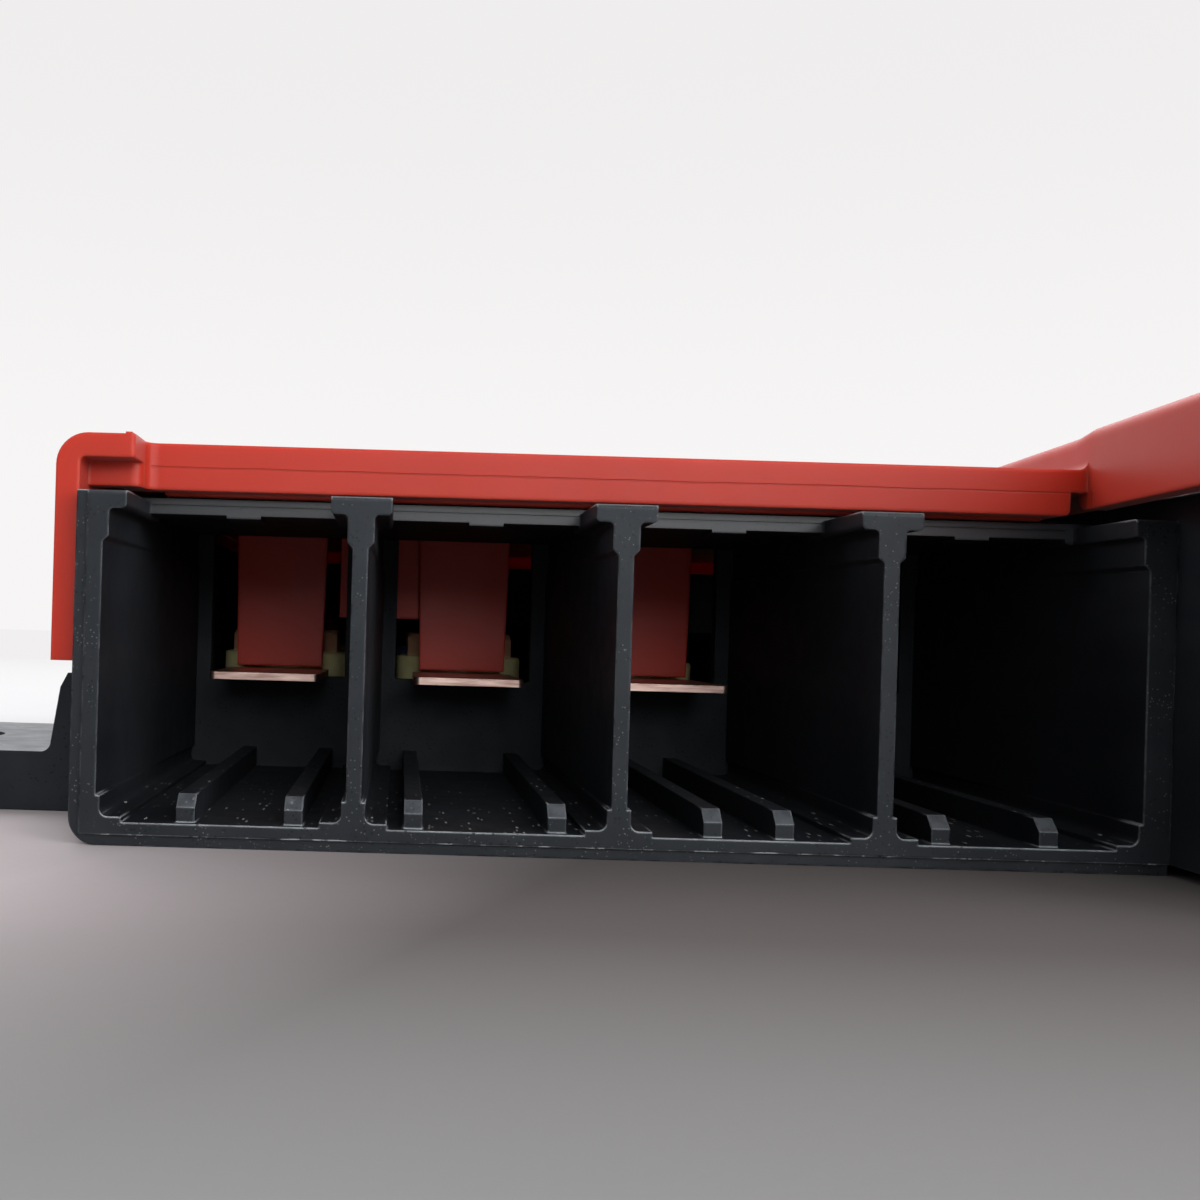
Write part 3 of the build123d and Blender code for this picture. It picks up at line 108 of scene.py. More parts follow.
class Shading:
    """The nodes of one material or of the room."""

    def __init__(self, owner):
        owner.use_nodes = True
        self.tree = owner.node_tree
        self.tree.nodes.clear()

    def link(self, socket, value):
        if isinstance(value, Value):
            self.tree.links.new(value.socket, socket)
        elif isinstance(value, tuple) and len(value) == 3 and socket.type == "RGBA":
            socket.default_value = (*value, 1.0)
        else:
            socket.default_value = value

    def node(self, kind, settings, sockets, output=0):
        made = self.tree.nodes.new("ShaderNode" + kind)
        for key, value in settings.items():
            setattr(made, key, value)
        for key, value in sockets.items():
            self.link(made.inputs[key], value)
        return Value(self, made.outputs[output]) if made.outputs else made

    def place(self):
        return self.node("TexCoord", {}, {}, "Object")

    def part(self, vector, letter):
        return self.node("SeparateXYZ", {}, {0: vector}, letter)

    def axis(self, letter):
        return self.part(self.place(), letter)

    def stretched(self, scale):
        return self.node("Mapping", {}, {"Vector": self.place(), "Scale": scale})

    def noise(self, scale, detail=3.0, stretch=None):
        spot = self.stretched(stretch) if stretch else self.place()
        return self.node("TexNoise", {}, {"Vector": spot, "Scale": scale, "Detail": detail})

    def cells(self, scale, stretch=None):
        """Distance to the nearest of many scattered points, in widths of a cell."""
        spot = self.stretched(stretch) if stretch else self.place()
        sockets = {"Vector": spot, "Scale": scale}
        return self.node("TexVoronoi", {"feature": "F1"}, sockets, "Distance")

    def between(self, value, low, high):
        """0 to 1 as a value goes from one level to another, which may be the lower."""
        sockets = {"Value": value, "From Min": low, "From Max": high}
        return self.node("MapRange", {"clamp": True}, sockets)

    def tint(self, mask, first, second):
        """One colour where the mask is 0, the other where it is 1."""
        sockets = {0: mask, 6: first, 7: second}
        return self.node("Mix", {"data_type": "RGBA"}, sockets, 2)

    def bump(self, height, distance, strength, under=None):
        sockets = {"Height": height, "Distance": distance, "Strength": strength}
        if under:
            sockets["Normal"] = under
        return self.node("Bump", {}, sockets)

    def eased_edges(self, radius):
        """Normals that turn over each edge as if it were rounded."""
        return self.node("Bevel", {"samples": 6}, {"Radius": radius})

    def edge_mask(self, eased, reach):
        """0 on flat faces, 1 where the eased normals lean away from them."""
        flat = self.node("NewGeometry", {}, {}, "True Normal")
        same = self.node("VectorMath", {"operation": "DOT_PRODUCT"}, {0: eased, 1: flat}, "Value")
        return self.between(1 - same, 0.0, reach)


class Finish(Shading):
    """One surface finish: a Principled shader, its constants and the nodes that feed it."""

    def __init__(self, name, **constants):
        self.material = bpy.data.materials.new(name)
        super().__init__(self.material)
        surface = self.node("BsdfPrincipled", {}, {})
        self.shader = surface.socket.node
        self.output = self.node("OutputMaterial", {}, {"Surface": surface})
        for socket, value in constants.items():
            self.feed(socket.replace("_", " "), value)

    def feed(self, socket, value):
        self.link(self.shader.inputs[socket], value)


# Where each shade of the card starts and where it is full, in metres
LENS_SHADE_Y, FOOT_SHADOW_Y, FAR_Y = (-0.20, -0.36), (-0.120, -0.074), (-0.048, 0.09)
ASIDE_X, DISTANT_Y = (0.12, 0.34), (0.10, 0.45)
WAVER = 8.0 * MM  # how far the edges of the shades stray to the front or the back

card = Finish("table_card", Roughness=0.9, Specular_IOR_Level=0.1)
depth = card.axis("Y") + (card.noise(5.0, 3.0) * (2 * WAVER) - WAVER)
leftmost = card.between(card.axis("X") - (card.axis("Y") + 0.058) * 0.5, -0.016, -0.052)
shade = card.between(card.noise(7.0, 4.0), 0.3, 0.7)
# Painted shade: the card is darker where the camera's shadow falls and darkest where the box's
# shadow falls at its foot, lighter at the left and to both sides
lens_shade_card = card.tint(shade, (0.240, 0.239, 0.237), (0.256, 0.255, 0.253))
lens_shade_card = card.tint(card.between(depth, *LENS_SHADE_Y), lens_shade_card, (0.54, 0.54, 0.54))
foot_shadow_card = card.tint(leftmost, (0.112, 0.098, 0.096), (0.42, 0.375, 0.38))
far_card = card.tint(shade, (0.66, 0.652, 0.654), (0.68, 0.673, 0.676))
shaded_front_card = card.tint(card.between(depth, *FOOT_SHADOW_Y), lens_shade_card, foot_shadow_card)
aside = card.between(abs(card.axis("X")), *ASIDE_X)
shaded_front_card = card.tint(aside, shaded_front_card, (0.50, 0.494, 0.494))
card.feed("Base Color", card.tint(card.between(depth, *FAR_Y), shaded_front_card, far_card))
card.feed("Normal", card.bump(card.noise(900.0, 4.0), 0.04 * MM, 1.0))
camera_ray = card.node("LightPath", {}, {}, "Is Camera Ray")
plain = card.node("Emission", {}, {"Color": (1.0, 0.985, 0.985), "Strength": 0.88})
distant = camera_ray * card.between(card.axis("Y"), *DISTANT_Y)
blended = card.node("MixShader", {}, {0: distant, 1: Value(card, card.shader.outputs[0]), 2: plain})
card.link(card.output.inputs["Surface"], blended)


def grid_mesh(name, grids, wrap_u=False, wrap_v=False):
    """Mesh of grids of points, all of one shape; rows run along v, columns along u."""
    rows, columns = grids[0].shape[:2]
    number = np.arange(rows * columns).reshape(rows, columns)
    if wrap_v:
        number = np.vstack([number, number[:1]])
    if wrap_u:
        number = np.hstack([number, number[:, :1]])
    corners = (number[:-1, :-1], number[:-1, 1:], number[1:, 1:], number[1:, :-1])
    faces = np.stack(corners, axis=-1).reshape(-1, 4)
    faces = np.concatenate([faces + grid * rows * columns for grid in range(len(grids))])
    points = np.concatenate([grid.reshape(-1, 3) for grid in grids])
    mesh = bpy.data.meshes.new(name)
    mesh.from_pydata(points.tolist(), [], faces.tolist())
    mesh.polygons.foreach_set("use_smooth", np.ones(len(faces), dtype=bool))
    mesh.update()
    return mesh


def added(name, mesh, finish):
    """Puts a mesh into the scene as an object at the origin, with one finish."""
    piece = bpy.data.objects.new(name, mesh)
    bpy.context.scene.collection.objects.link(piece)
    mesh.materials.append(finish.material)
    return piece


CARD_HALF, CARD_BACK, CARD_FRONT = 2.0, 2.4, -1.2
card_corners = np.array([
    [(-CARD_HALF, CARD_FRONT, 0.0), (CARD_HALF, CARD_FRONT, 0.0)],
    [(-CARD_HALF, CARD_BACK, 0.0), (CARD_HALF, CARD_BACK, 0.0)],
])
table = added("table_card", grid_mesh("table_card", [card_corners]), card)


# ---------------------------------------------------------------------------
# Light.  One soft box stands behind and above, a large and a small one in front,
# and a weak one at each side.  The white room is dim low down in front and at
# the left, where the person who works on the box stands.
# ---------------------------------------------------------------------------
room = bpy.data.worlds.new("white_room")
sky = Shading(room)
direction = sky.node("TexCoord", {}, {}, "Generated")
to_right, to_back, upward = (sky.part(direction, letter) for letter in "XYZ")


def eased(value, low, high):
    """0 to 1 as a value of the room's shader goes from one level to another."""
    sockets = {"Value": value, "From Min": low, "From Max": high}
    return sky.node("MapRange", {"interpolation_type": "SMOOTHSTEP"}, sockets)


behind = eased(to_back, 0.05, 0.45)
front_left = eased(to_right, -0.15, -0.65) * eased(to_back, 0.20, -0.20)
ahead = eased(to_back, -0.45, -0.85)
around = (0.64 + behind * 0.36) * (1 - front_left * 0.72)
straight = 0.22 + eased(upward, -0.02, 0.22) * 0.55
light = around + (straight - around) * ahead
backdrop = 0.93 - eased(upward, 0.10, 0.45) * 0.065
seen = sky.node("LightPath", {}, {}, "Is Camera Ray")
strength = light + (backdrop - light) * seen
tone = sky.tint(seen, (0.95, 0.97, 1.0), (1.0, 0.985, 0.985))
white = sky.node("Background", {}, {"Color": tone, "Strength": strength})
sky.node("OutputWorld", {}, {"Surface": white})
bpy.context.scene.world = room


def soft_box(name, place, target, width, height, power):
    """Rectangular area lamp at one place, turned to face a target."""
    lamp = bpy.data.lights.new(name, "AREA")
    lamp.shape = "RECTANGLE"
    lamp.size = width
    lamp.size_y = height
    lamp.energy = power
    held = bpy.data.objects.new(name, lamp)
    bpy.context.scene.collection.objects.link(held)
    place = Vector(place)
    aim = (Vector(target) - place).to_track_quat("-Z", "Y").to_matrix().to_4x4()
    held.matrix_world = Matrix.Translation(place) @ aim


soft_box("key_box", (-0.10, 0.60, 0.80), (0.0, 0.0, 0.02), 1.0, 0.7, 5.8)
soft_box("front_box", (0.14, -0.90, 0.24), (0.0, -0.04, 0.015), 0.5, 0.2, 1.85)
soft_box("brow_box", (0.34, -0.76, 0.50), (0.0, -0.04, 0.015), 0.9, 0.45, 3.2)
soft_box("right_box", (0.66, -0.55, 0.20), (0.0, -0.05, 0.015), 0.45, 0.35, 3.1)
soft_box("left_box", (-0.72, 0.05, 0.42), (0.04, 0.0, 0.03), 0.5, 0.4, 1.5)


# ---------------------------------------------------------------------------
# Housing: black glass-filled nylon, moulded in one shot with the ways, the fuse
# tray, the battery block and the lug.  Its eroded grain is fine; its edges are
# rubbed pale and carry a painted highlight, strongest at the mouth; grit and chips
# of flash lie on the floors of the ways.
# ---------------------------------------------------------------------------
HOUSING_NODES = ("way_housing", "fuse_tray", "battery_block", "mounting_lug")

# Where each effect starts and where it is full
MOUTH_ZONE_Y, ROUGHER_Y = (-47.0 * MM, -49.2 * MM), (-49.0 * MM, -38.0 * MM)
GRIT_Y, GRIT_Z = (-15.0 * MM, -44.0 * MM), (5.0 * MM, 4.6 * MM)
BURR_X, LUG_X = (-53.5 * MM, -51.8 * MM), (-54.5 * MM, -56.0 * MM)
RAIL_FRONT_Y, RAIL_REACH, RAIL_Z = -41.2 * MM, (0.7 * MM, 0.3 * MM), (28.2 * MM, 28.4 * MM)
BURR_HEIGHT, BURR_HALF, BURR_WANDER = 0.98 * MM, (0.065 * MM, 0.025 * MM), 0.25 * MM

nylon = Finish(
    "housing_black",
    Specular_IOR_Level=0.31,
    Specular_Tint=(0.88, 0.94, 1.0),
)
nylon_edge = nylon.eased_edges(0.28 * MM)
mouth_zone = nylon.between(nylon.axis("Y"), *MOUTH_ZONE_Y)
inward = nylon.between(nylon.axis("Y"), *ROUGHER_Y)
true_face = nylon.node("NewGeometry", {}, {}, "True Normal")
face_up = nylon.part(true_face, "Z")
face_back = nylon.part(true_face, "Y")
wear_and_highlight = nylon.edge_mask(nylon_edge, 0.12) * (0.10 + mouth_zone * 0.90)
cloud = nylon.between(nylon.noise(70.0, 4.0), 0.3, 0.7)
flow = nylon.between(nylon.noise(220.0, 3.0, (1.0, 0.18, 1.0)), 0.42, 0.7)
body_tone = nylon.tint(cloud, (0.0082, 0.0098, 0.0124), (0.0118, 0.0138, 0.0170))
body_tone = nylon.tint(flow * 0.35, body_tone, (0.022, 0.024, 0.028))
line_breaks = nylon.between(nylon.noise(700.0, 3.0), 0.36, 0.6)
# Rubbed edges: partly wear, partly a painted highlight; full at the mouth, where the light falls
body_tone = nylon.tint(wear_and_highlight * line_breaks * 0.42, body_tone, (0.14, 0.15, 0.16))

# Level front edges and the sloped noses of the ribs get a painted highlight; the step of the band
# carries a broken burr
front_face = nylon.between(face_back, -0.6, -0.9)
lit_lip = wear_and_highlight * nylon.between(nylon.part(nylon_edge, "Z"), 0.12, 0.4) * mouth_zone
body_tone = nylon.tint(lit_lip * (0.65 + line_breaks * 0.35), body_tone, (0.36, 0.38, 0.40))
# Painted highlight on the up-sloping noses of the ribs
nose_highlight = nylon.between(face_up, 0.6, 0.65) * nylon.between(face_up, 0.8, 0.75) * mouth_zone
body_tone = nylon.tint(nose_highlight * (0.5 + line_breaks * 0.5), body_tone, (0.075, 0.082, 0.090))
meander = (nylon.noise(420.0, 3.0) - 0.5) * BURR_WANDER
off_burr = abs(nylon.axis("Z") + meander - BURR_HEIGHT)
past_corner = nylon.between(nylon.axis("X"), *BURR_X)
burr_line = nylon.between(off_burr, *BURR_HALF) * front_face * mouth_zone * past_corner
body_tone = nylon.tint(burr_line * 0.5, body_tone, (0.12, 0.125, 0.13))
flakes = burr_line * nylon.between(nylon.noise(700.0, 3.0), 0.54, 0.60)
body_tone = nylon.tint(flakes * 0.9, body_tone, (0.42, 0.43, 0.44))

# Pits and pale grit on the front faces, drawn-out chips of flash on the floors
pit_zone = nylon.between(nylon.noise(520.0, 3.0), 0.44, 0.56)
pits = (nylon.cells(2100.0) < 0.24) * pit_zone * front_face
body_tone = nylon.tint(pits * 0.8, body_tone, (0.002, 0.002, 0.002))
speck_zone = nylon.between(nylon.noise(330.0, 4.0), 0.46, 0.60)
specks = (nylon.cells(2700.0) < 0.17) * speck_zone * front_face * mouth_zone
body_tone = nylon.tint(specks * 0.238, body_tone, (0.36, 0.36, 0.35))
level_face = nylon.between(face_up, 0.5, 0.9)
near_mouth = nylon.between(nylon.axis("Y"), *GRIT_Y)
low_down = nylon.between(nylon.axis("Z"), *GRIT_Z)
chips = (nylon.cells(1700.0, (1.0, 0.22, 1.0)) < 0.19) * speck_zone
chips = chips * level_face * near_mouth * low_down
body_tone = nylon.tint(chips * 0.8, body_tone, (0.42, 0.42, 0.40))
nylon.feed("Base Color", body_tone)

# The lug's top is polished by handling; the rail along the roof's front is glossy
mottle = nylon.between(nylon.noise(400.0, 3.0), 0.2, 0.8)
on_lug = nylon.between(nylon.axis("X"), *LUG_X) * level_face
satin = mottle * 0.14 + 0.38 + cloud * 0.05
nylon.feed("Roughness", satin + inward * 0.22 * (1 - on_lug) - on_lug * 0.16)
at_rail = nylon.between(abs(nylon.axis("Y") - RAIL_FRONT_Y), *RAIL_REACH)
rail = nylon.between(nylon.axis("Z"), *RAIL_Z) * at_rail
nylon.feed("Coat Weight", rail * 0.85)
nylon.feed("Coat Roughness", 0.35)
grain = nylon.bump(nylon.noise(2600.0, 2.0), 0.020 * MM, 0.55, nylon_edge)
nylon.feed("Normal", nylon.bump(nylon.noise(120.0, 2.0), 0.08 * MM, 0.5, grain))


def refinish(names, finish):
    """Gives CAD pieces a finish in every one of their material slots."""
    for name in names:
        mesh = nodes[name].data
        for slot in range(len(mesh.materials)):
            mesh.materials[slot] = finish.material
        if not mesh.materials:
            mesh.materials.append(finish.material)


refinish(HOUSING_NODES, nylon)


# ---------------------------------------------------------------------------
# Lid: signal-red polypropylene, satin and slightly translucent, with a faint
# flow pattern and a fine parting line along its front skirt, where the two
# halves of the mould met.
# ---------------------------------------------------------------------------
red = Finish(
    "lid_red",
    Specular_IOR_Level=0.28,
    Sheen_Weight=0.10,
    Sheen_Roughness=0.35,
    Subsurface_Weight=0.3,
    Subsurface_Radius=(1.0, 0.25, 0.18),
    Subsurface_Scale=0.0028,
)
red_eased = red.eased_edges(0.42 * MM)
red_edge_highlight = red.edge_mask(red_eased, 0.15)
red_cloud = red.between(red.noise(45.0, 3.0), 0.3, 0.7)
red_tone = red.tint(red_cloud, (0.425, 0.024, 0.010), (0.465, 0.028, 0.012))
# Painted highlight: the eased edges are a lighter red, as if they caught the light
red_tone = red.tint(red_edge_highlight * 0.5, red_tone, (0.58, 0.085, 0.05))
PARTING_Z, PARTING_HALF = 32.4 * MM, 0.07 * MM
SKIRT_FRONT_Y, SKIRT_MIDDLE_X, SKIRT_HALF = -43.6 * MM, -10.2 * MM, 41.0 * MM
wander = (red.noise(160.0, 2.0) - 0.5) * (0.25 * MM)
on_skirt = abs(red.axis("Y") - SKIRT_FRONT_Y) < 0.2 * MM
along_skirt = abs(red.axis("X") - SKIRT_MIDDLE_X) < SKIRT_HALF
off_parting = abs(red.axis("Z") + wander - PARTING_Z)
parting = red.between(off_parting, PARTING_HALF * 1.6, PARTING_HALF * 0.5) * on_skirt * along_skirt
red_tone = red.tint(parting * 0.45, red_tone, (0.20, 0.02, 0.015))
red.feed("Base Color", red_tone)
red.feed("Roughness", red.between(red.noise(300.0, 3.0), 0.2, 0.8) * 0.10 + 0.36)
red_grain = red.bump(red.noise(2200.0, 2.0), 0.012 * MM, 0.4, red_eased)
red_wave = red.bump(red.noise(60.0, 2.0), 0.12 * MM, 0.5, red_grain)
red.feed("Normal", red.bump(1 - parting, 0.06 * MM, 0.6, red_wave))
refinish(("lid",), red)


# ---------------------------------------------------------------------------
# Sealing lip: a rib moulded under the lid behind its front skirt.  It stands
# just clear of the rail along the roof's front and keeps splashes out.
# ---------------------------------------------------------------------------
def rounded_bar(x, y, z, edge):
    """Closed bar along X between pairs of limits.

    Each row is a rounded rectangle in the Y-Z plane: a corner's centre plus the
    rounding radius times the cosine and sine of the turn.  The rounding swells
    over the first and last rows, which close on the bar's axis.
    """
    turns = np.linspace(0.0, 2 * math.pi, 25)[:-1] + math.pi / 24
    middle_y, middle_z = sum(y) / 2, sum(z) / 2
    half_y, half_z = (y[1] - y[0]) / 2 - edge, (z[1] - z[0]) / 2 - edge
    to_side = half_y * np.sign(np.cos(turns)) + edge * np.cos(turns)
    to_top = half_z * np.sign(np.sin(turns)) + edge * np.sin(turns)
    stations = np.array([x[0], x[0], x[0] + edge, x[1] - edge, x[1], x[1]])
    swell = np.array([0.0, 0.85, 1.0, 1.0, 0.85, 0.0])
    rows = np.repeat(stations[:, None], len(turns), axis=1)
    depths = middle_y + swell[:, None] * to_side
    heights = middle_z + swell[:, None] * to_top
    return np.stack([rows, depths, heights], axis=-1)


LIP_X, LIP_Y, LIP_Z = (-50.0 * MM, 29.8 * MM), (-40.9 * MM, -39.9 * MM), (30.12 * MM, 32.7 * MM)
lip_bar = rounded_bar(LIP_X, LIP_Y, LIP_Z, 0.2 * MM)
lip = added("lid_sealing_lip", grid_mesh("lid_sealing_lip", [lip_bar], wrap_u=True), red)
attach(lip, "lid")


# ---------------------------------------------------------------------------
# Outlet blades: stamped from 0.8 mm copper strip, so the sheared front edge is
# bright and lined, while the faces are a little darker and tarnished.
# ---------------------------------------------------------------------------
SHEARED_Y = (-20.9 * MM, -21.1 * MM)  # where the faces give way to the front edge

copper = Finish("blade_copper", Metallic=1.0)
copper_eased = copper.eased_edges(0.08 * MM)
tarnish = copper.between(copper.noise(240.0, 4.0), 0.35, 0.75)
rolled = copper.noise(900.0, 3.0, (1.0, 0.05, 1.0))
copper_tone = copper.tint(tarnish, (0.62, 0.34, 0.25), (0.46, 0.23, 0.16))
sheared = copper.between(copper.axis("Y"), *SHEARED_Y)
shear_lines = copper.noise(2600.0, 3.0, (0.10, 1.0, 1.0))
lined = copper.between(shear_lines, 0.35, 0.65)
edge_tone = copper.tint(lined, (0.74, 0.55, 0.48), (0.42, 0.27, 0.23))
copper.feed("Base Color", copper.tint(sheared, copper_tone, edge_tone))
copper.feed("Roughness", copper.between(rolled, 0.3, 0.7) * 0.12 + 0.28 + tarnish * 0.10)
copper.feed("Normal", copper.bump(shear_lines, 0.02 * MM, 0.5, copper_eased))
refinish(("outlet_blade_1", "outlet_blade_2", "outlet_blade_3"), copper)


# ---------------------------------------------------------------------------
# Fuses: a tinned link with a narrow neck runs through a moulded cartridge of
# two halves; the upper half's colour tells the rating.
# ---------------------------------------------------------------------------
link_alloy = Finish("link_alloy", Metallic=1.0)
link_dull = link_alloy.between(link_alloy.noise(350.0, 4.0), 0.35, 0.7)
link_alloy.feed("Base Color", link_alloy.tint(link_dull, (0.70, 0.66, 0.58), (0.52, 0.49, 0.43)))
link_alloy.feed("Roughness", link_dull * 0.15 + 0.28)
link_edge = link_alloy.eased_edges(0.08 * MM)
link_alloy.feed("Normal", link_alloy.bump(link_alloy.noise(1500.0, 2.0), 0.01 * MM, 0.4, link_edge))
refinish(("fuse_link_1", "fuse_link_2", "fuse_link_3"), link_alloy)


def moulded(name, dark, light, specular, rough):
    """Moulded thermoset: two close tones in a cloud, a fine grain, and eased edges with a painted
    highlight.
    """
    finish = Finish(name, Specular_IOR_Level=specular)
    soft_edge = finish.eased_edges(0.15 * MM)
    patch = finish.between(finish.noise(160.0, 4.0), 0.3, 0.7)
    tone = finish.tint(patch, dark, light)
    # Painted highlight: the eased edges get a paler tone
    painted_edge_highlight = tuple(1.35 * part + 0.03 for part in light)
    finish.feed("Base Color", finish.tint(finish.edge_mask(soft_edge, 0.15) * 0.5, tone, painted_edge_highlight))
    finish.feed("Roughness", patch * 0.08 + rough)
    finish.feed("Normal", finish.bump(finish.noise(2200.0, 2.0), 0.012 * MM, 0.5, soft_edge))
    return finish


lower_half = moulded("fuse_body_grey", (0.055, 0.056, 0.060), (0.075, 0.076, 0.080), 0.4, 0.45)
refinish(("fuse_body_1", "fuse_body_2", "fuse_body_3"), lower_half)
CAP_TONES = (
    ((0.60, 0.36, 0.05), (0.68, 0.42, 0.07)),
    ((0.05, 0.16, 0.38), (0.07, 0.20, 0.45)),
    ((0.32, 0.33, 0.33), (0.38, 0.39, 0.39)),
)
for number, (dark, light) in enumerate(CAP_TONES, start=1):
    refinish((f"fuse_lid_{number}",), moulded(f"fuse_lid_{number}", dark, light, 0.5, 0.32))


# ---------------------------------------------------------------------------
# Studs: M8, rolled threads on zinc-plated steel, with a flat head clinched
# under the conductor.
# ---------------------------------------------------------------------------
zinc = Finish("stud_steel", Metallic=1.0)
zinc_cloud = zinc.between(zinc.noise(500.0, 4.0), 0.35, 0.7)
zinc.feed("Base Color", zinc.tint(zinc_cloud, (0.62, 0.62, 0.60), (0.50, 0.50, 0.49)))
zinc.feed("Roughness", zinc_cloud * 0.14 + 0.26)
zinc.feed("Normal", zinc.bump(zinc.noise(1800.0, 2.0), 0.01 * MM, 0.4))

THREAD_PITCH, THREAD_DEPTH = 1.25 * MM, 0.72 * MM
RUN_OUT = 1.0 * MM  # length over which the thread starts, and tapers at the end
HEAD_EDGE = 0.25 * MM  # rounding of the head's rim


def threaded_stud(x, y, low, seat, top, shank, head):
    """Closed surface of revolution with a thread.

    The radius is the head's up to the seat, then the shank's less a
    triangle wave whose phase is height over pitch minus the turn, so it climbs
    one pitch per turn; the last millimetre tapers, and the ends close on the axis.
    """
    turns = np.linspace(0.0, 2 * math.pi, 49)[:-1]
    rows = np.linspace(seat, top, 150)
    phase = (rows[:, None] / THREAD_PITCH - turns[None, :] / (2 * math.pi)) % 1.0
    groove = np.clip(1.15 - 2.3 * np.abs(phase - 0.5), 0.0, 1.0)
    taper = np.clip((rows - (top - RUN_OUT)) / RUN_OUT, 0.0, 1.0)[:, None]
    run_in = np.clip((rows - seat) / RUN_OUT, 0.0, 1.0)[:, None]
    thread = shank - THREAD_DEPTH * np.maximum(groove * run_in, taper)
    head_radius = np.array([0.0, head - HEAD_EDGE, head, head, head - HEAD_EDGE, shank])
    head_height = np.array([low, low, low + HEAD_EDGE, seat - HEAD_EDGE, seat, seat])
    if head <= shank:
        head_radius = np.array([0.0, shank])
        head_height = np.array([low, low])
    radius = np.vstack([
        np.repeat(head_radius[:, None], len(turns), axis=1),
        thread,
        np.zeros((1, len(turns))),
    ])
    heights = np.concatenate([head_height, rows, [top]])
    heights = np.repeat(heights[:, None], len(turns), axis=1)
    return np.stack([x + radius * np.cos(turns), y + radius * np.sin(turns), heights], axis=-1)


way_centres = [
    float((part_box(f"outlet_blade_{n}")[0][0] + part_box(f"outlet_blade_{n}")[1][0]) / 2)
    for n in (1, 2, 3)
]
STUD_SHANK, STUD_HEAD_THICKNESS, PLAIN_END = 4.0 * MM, 1.5 * MM, 1.0 * MM
for name in ("front_studs", "rear_studs", "feed_stud", "joint_stud"):
    low, high = (np.array(corner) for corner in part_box(name))
    y = (low[1] + high[1]) / 2
    centres = way_centres if name in ("front_studs", "rear_studs") else [(low[0] + high[0]) / 2]
    head = (high[1] - low[1]) / 2
    seat = low[2] + (STUD_HEAD_THICKNESS if head > STUD_SHANK * 1.1 else PLAIN_END)
    grids = [threaded_stud(x, y, low[2], seat, high[2], STUD_SHANK, head) for x in centres]
    mesh = grid_mesh(f"threaded_{name}", grids, wrap_u=True)
    studs = added(f"threaded_{name}", mesh, zinc)
    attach(studs, "base")
    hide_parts(name)


# ---------------------------------------------------------------------------
# Nuts: hexagons turned in one piece with a tall round collar, yellow-passivated
# zinc; the top corners are cut by a cone, which leaves curved chamfers.
# ---------------------------------------------------------------------------
RED_REFLECTION_Z = (15.4 * MM, 15.8 * MM)  # from here up the hexagon carries a painted reflection of the red lid, browner than its collar

yellow = Finish("nut_yellow_zinc", Metallic=0.1)
yellow_cloud = yellow.between(yellow.noise(420.0, 4.0), 0.3, 0.7)
rainbow = yellow.between(yellow.noise(160.0, 3.0), 0.55, 0.75)
yellow_tone = yellow.tint(yellow_cloud, (0.95, 0.88, 0.46), (0.80, 0.72, 0.36))
yellow_tone = yellow.tint(rainbow * 0.4, yellow_tone, (0.46, 0.30, 0.22))
hexagon_red_reflection = yellow.between(yellow.axis("Z"), *RED_REFLECTION_Z)
# Painted reflection of the red lid on the hexagon's faces
yellow.feed("Base Color", yellow.tint(hexagon_red_reflection * 0.85, yellow_tone, (0.46, 0.20, 0.13)))
yellow.feed("Roughness", yellow_cloud * 0.14 + 0.30)
yellow.feed("Normal", yellow.bump(yellow.noise(1800.0, 2.0), 0.01 * MM, 0.4))

NUT_FLATS, NUT_COLLAR_TOP, NUT_BORE = 13.0 * MM, 4.0 * MM, 4.02 * MM
NUT_EDGE, NUT_CONE_RISE = 0.35 * MM, 1.5  # rounding; run of the cone to its drop


def collar_nut(x, y, seat, top, collar):
    """Closed ring around the axis.

    The outer radius of the hexagon is half the flats over the cosine of the
    angle to the nearest flat's middle, cut by a cone at the top; the collar
    under it is round.  The rows run up the outside and down the bore.
    """
    turns = np.linspace(0.0, 2 * math.pi, 97)[:-1]
    off_flat = (turns + math.pi / 6) % (math.pi / 3) - math.pi / 6
    hexagon = (NUT_FLATS / 2) / np.cos(off_flat)
    shoulder = seat + NUT_COLLAR_TOP
    ones = np.ones_like(turns)
    rows, heights = [], []
    for radius, level in (
        (NUT_BORE + NUT_EDGE, seat),
        (collar - NUT_EDGE, seat),
        (collar - 0.1 * MM, seat + 0.1 * MM),
        (collar, seat + NUT_EDGE),
        (collar, shoulder - NUT_EDGE),
        (collar - 0.1 * MM, shoulder - 0.1 * MM),
        (collar - NUT_EDGE, shoulder),
    ):
        rows.append(radius * ones)
        heights.append(level)
    for level in (shoulder, shoulder + 0.15 * MM):
        rows.append(hexagon + (0.15 * MM if level == shoulder else 0.0))
        heights.append(level)
    for level in np.linspace(shoulder + 0.4 * MM, top, 9):
        cone = NUT_FLATS / 2 + 0.05 * MM + (top - level) * NUT_CONE_RISE
        rows.append(np.minimum(hexagon, cone))
        heights.append(level)
    for radius, level in (
        (NUT_FLATS / 2 - 0.3 * MM, top),
        (NUT_BORE + NUT_EDGE, top),
        (NUT_BORE, top - NUT_EDGE),
        (NUT_BORE, seat + NUT_EDGE),
    ):
        rows.append(radius * ones)
        heights.append(level)
    radius = np.array(rows)
    level = np.repeat(np.array(heights)[:, None], len(turns), axis=1)
    return np.stack([x + radius * np.cos(turns), y + radius * np.sin(turns), level], axis=-1)


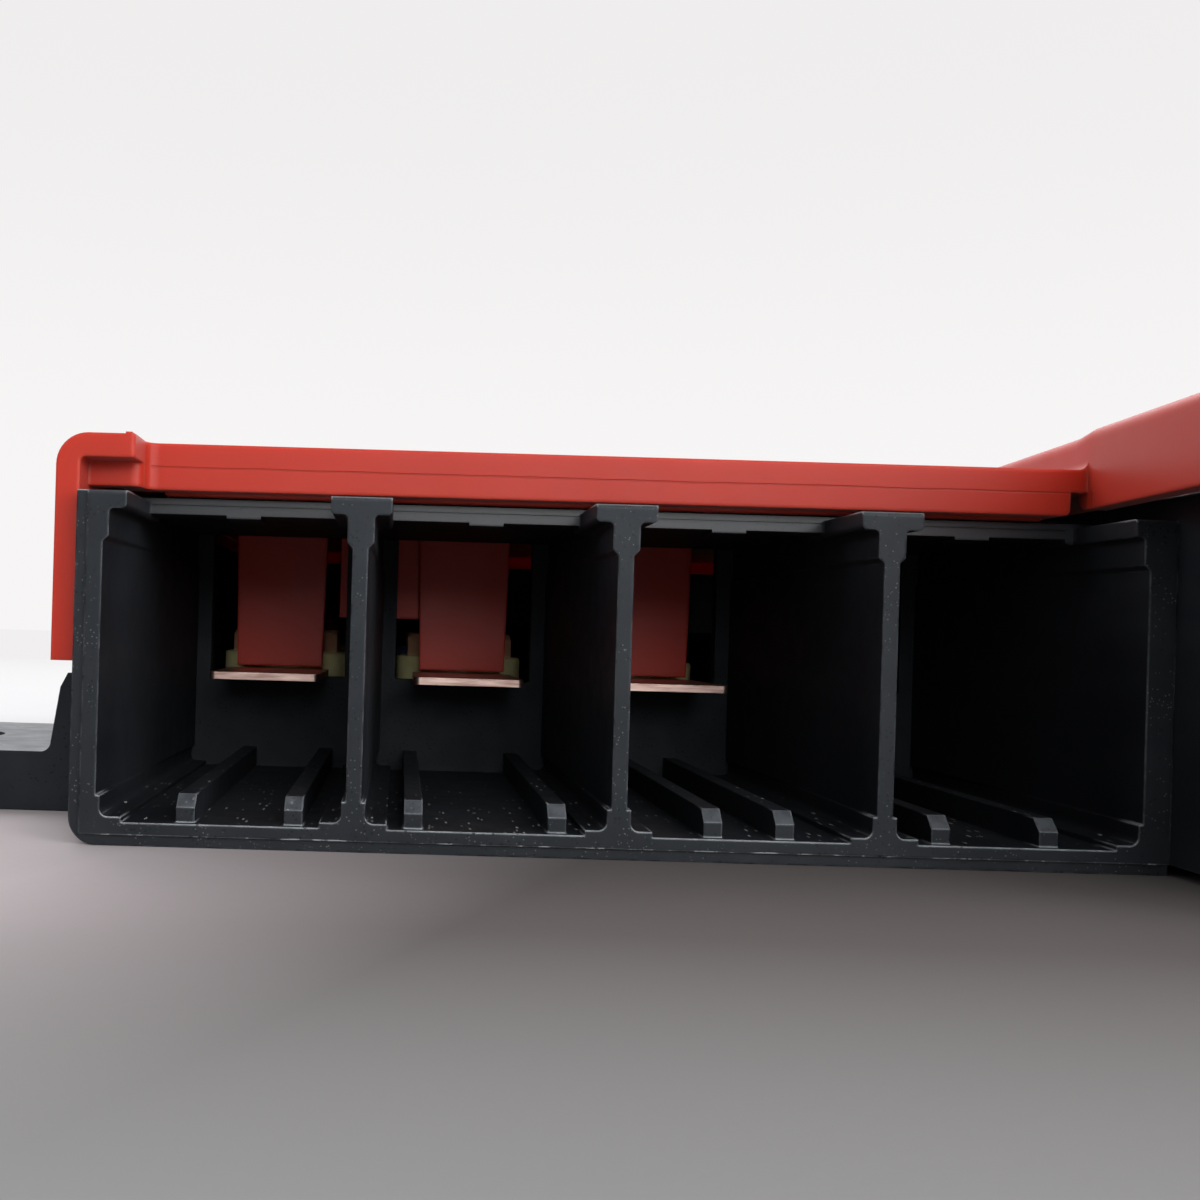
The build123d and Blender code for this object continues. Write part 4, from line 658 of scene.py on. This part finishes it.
for name in ("front_nuts", "rear_nuts", "feed_nut", "joint_nut"):
    low, high = (np.array(corner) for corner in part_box(name))
    y = (low[1] + high[1]) / 2
    centres = way_centres if name in ("front_nuts", "rear_nuts") else [(low[0] + high[0]) / 2]
    grids = [collar_nut(x, y, low[2], high[2], (high[1] - low[1]) / 2) for x in centres]
    mesh = grid_mesh(f"turned_{name}", grids, wrap_u=True, wrap_v=True)
    nuts = added(f"turned_{name}", mesh, yellow)
    mesh.set_sharp_from_angle(angle=math.radians(28))
    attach(nuts, "base")
    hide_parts(name)


# ---------------------------------------------------------------------------
# Busbar: one L-shaped stamping of 2 mm copper, tin plated, matt, scratched
# where tools and washers have turned on it.
# ---------------------------------------------------------------------------
tinned = Finish("busbar_tinned", Metallic=1.0)
tin_cloud = tinned.between(tinned.noise(180.0, 4.0), 0.3, 0.7)
scratch = tinned.between(tinned.noise(900.0, 2.0, (0.06, 1.0, 1.0)), 0.60, 0.66)
tin_tone = tinned.tint(tin_cloud, (0.70, 0.69, 0.66), (0.58, 0.57, 0.54))
tinned.feed("Base Color", tinned.tint(scratch * 0.35, tin_tone, (0.80, 0.79, 0.76)))
tinned.feed("Roughness", tin_cloud * 0.12 + 0.34 - scratch * 0.08)
tinned_edge = tinned.eased_edges(0.12 * MM)
tinned.feed("Normal", tinned.bump(tinned.noise(1600.0, 2.0), 0.01 * MM, 0.4, tinned_edge))
refinish(("input_busbar",), tinned)


# ---------------------------------------------------------------------------
# Battery clamp: a slit ring cast in brass, with ears for its pinch bolt and a
# pad for the busbar.  Bolt, washer and nut are zinc-plated steel.
# ---------------------------------------------------------------------------
brass = Finish("clamp_brass", Metallic=1.0)
cast_patch = brass.between(brass.noise(140.0, 5.0), 0.3, 0.7)
brass.feed("Base Color", brass.tint(cast_patch, (0.66, 0.54, 0.27), (0.50, 0.39, 0.18)))
brass.feed("Roughness", cast_patch * 0.16 + 0.34)
brass_edge = brass.eased_edges(0.3 * MM)
brass.feed("Normal", brass.bump(brass.noise(900.0, 4.0), 0.05 * MM, 0.5, brass_edge))
refinish(("battery_clamp",), brass)

plated = Finish("clamp_steel", Metallic=1.0)
plate_cloud = plated.between(plated.noise(420.0, 4.0), 0.35, 0.7)
plated.feed("Base Color", plated.tint(plate_cloud, (0.62, 0.63, 0.63), (0.48, 0.49, 0.50)))
plated.feed("Roughness", plate_cloud * 0.14 + 0.28)
plated_edge = plated.eased_edges(0.15 * MM)
plated.feed("Normal", plated.bump(plated.noise(1500.0, 2.0), 0.01 * MM, 0.4, plated_edge))
refinish(("clamp_bolt", "clamp_washer", "clamp_nut"), plated)


# ---------------------------------------------------------------------------
# Hinge pins: three lengths of drawn steel wire pressed into the ears.
# ---------------------------------------------------------------------------
wire = Finish("pin_steel", Metallic=1.0)
drawn = wire.between(wire.noise(1200.0, 3.0, (0.04, 1.0, 1.0)), 0.35, 0.65)
wire.feed("Base Color", wire.tint(drawn, (0.58, 0.58, 0.59), (0.46, 0.46, 0.47)))
wire.feed("Roughness", drawn * 0.12 + 0.26)
wire.feed("Normal", wire.bump(drawn, 0.006 * MM, 0.4, wire.eased_edges(0.1 * MM)))
refinish(("hinge_pins",), wire)
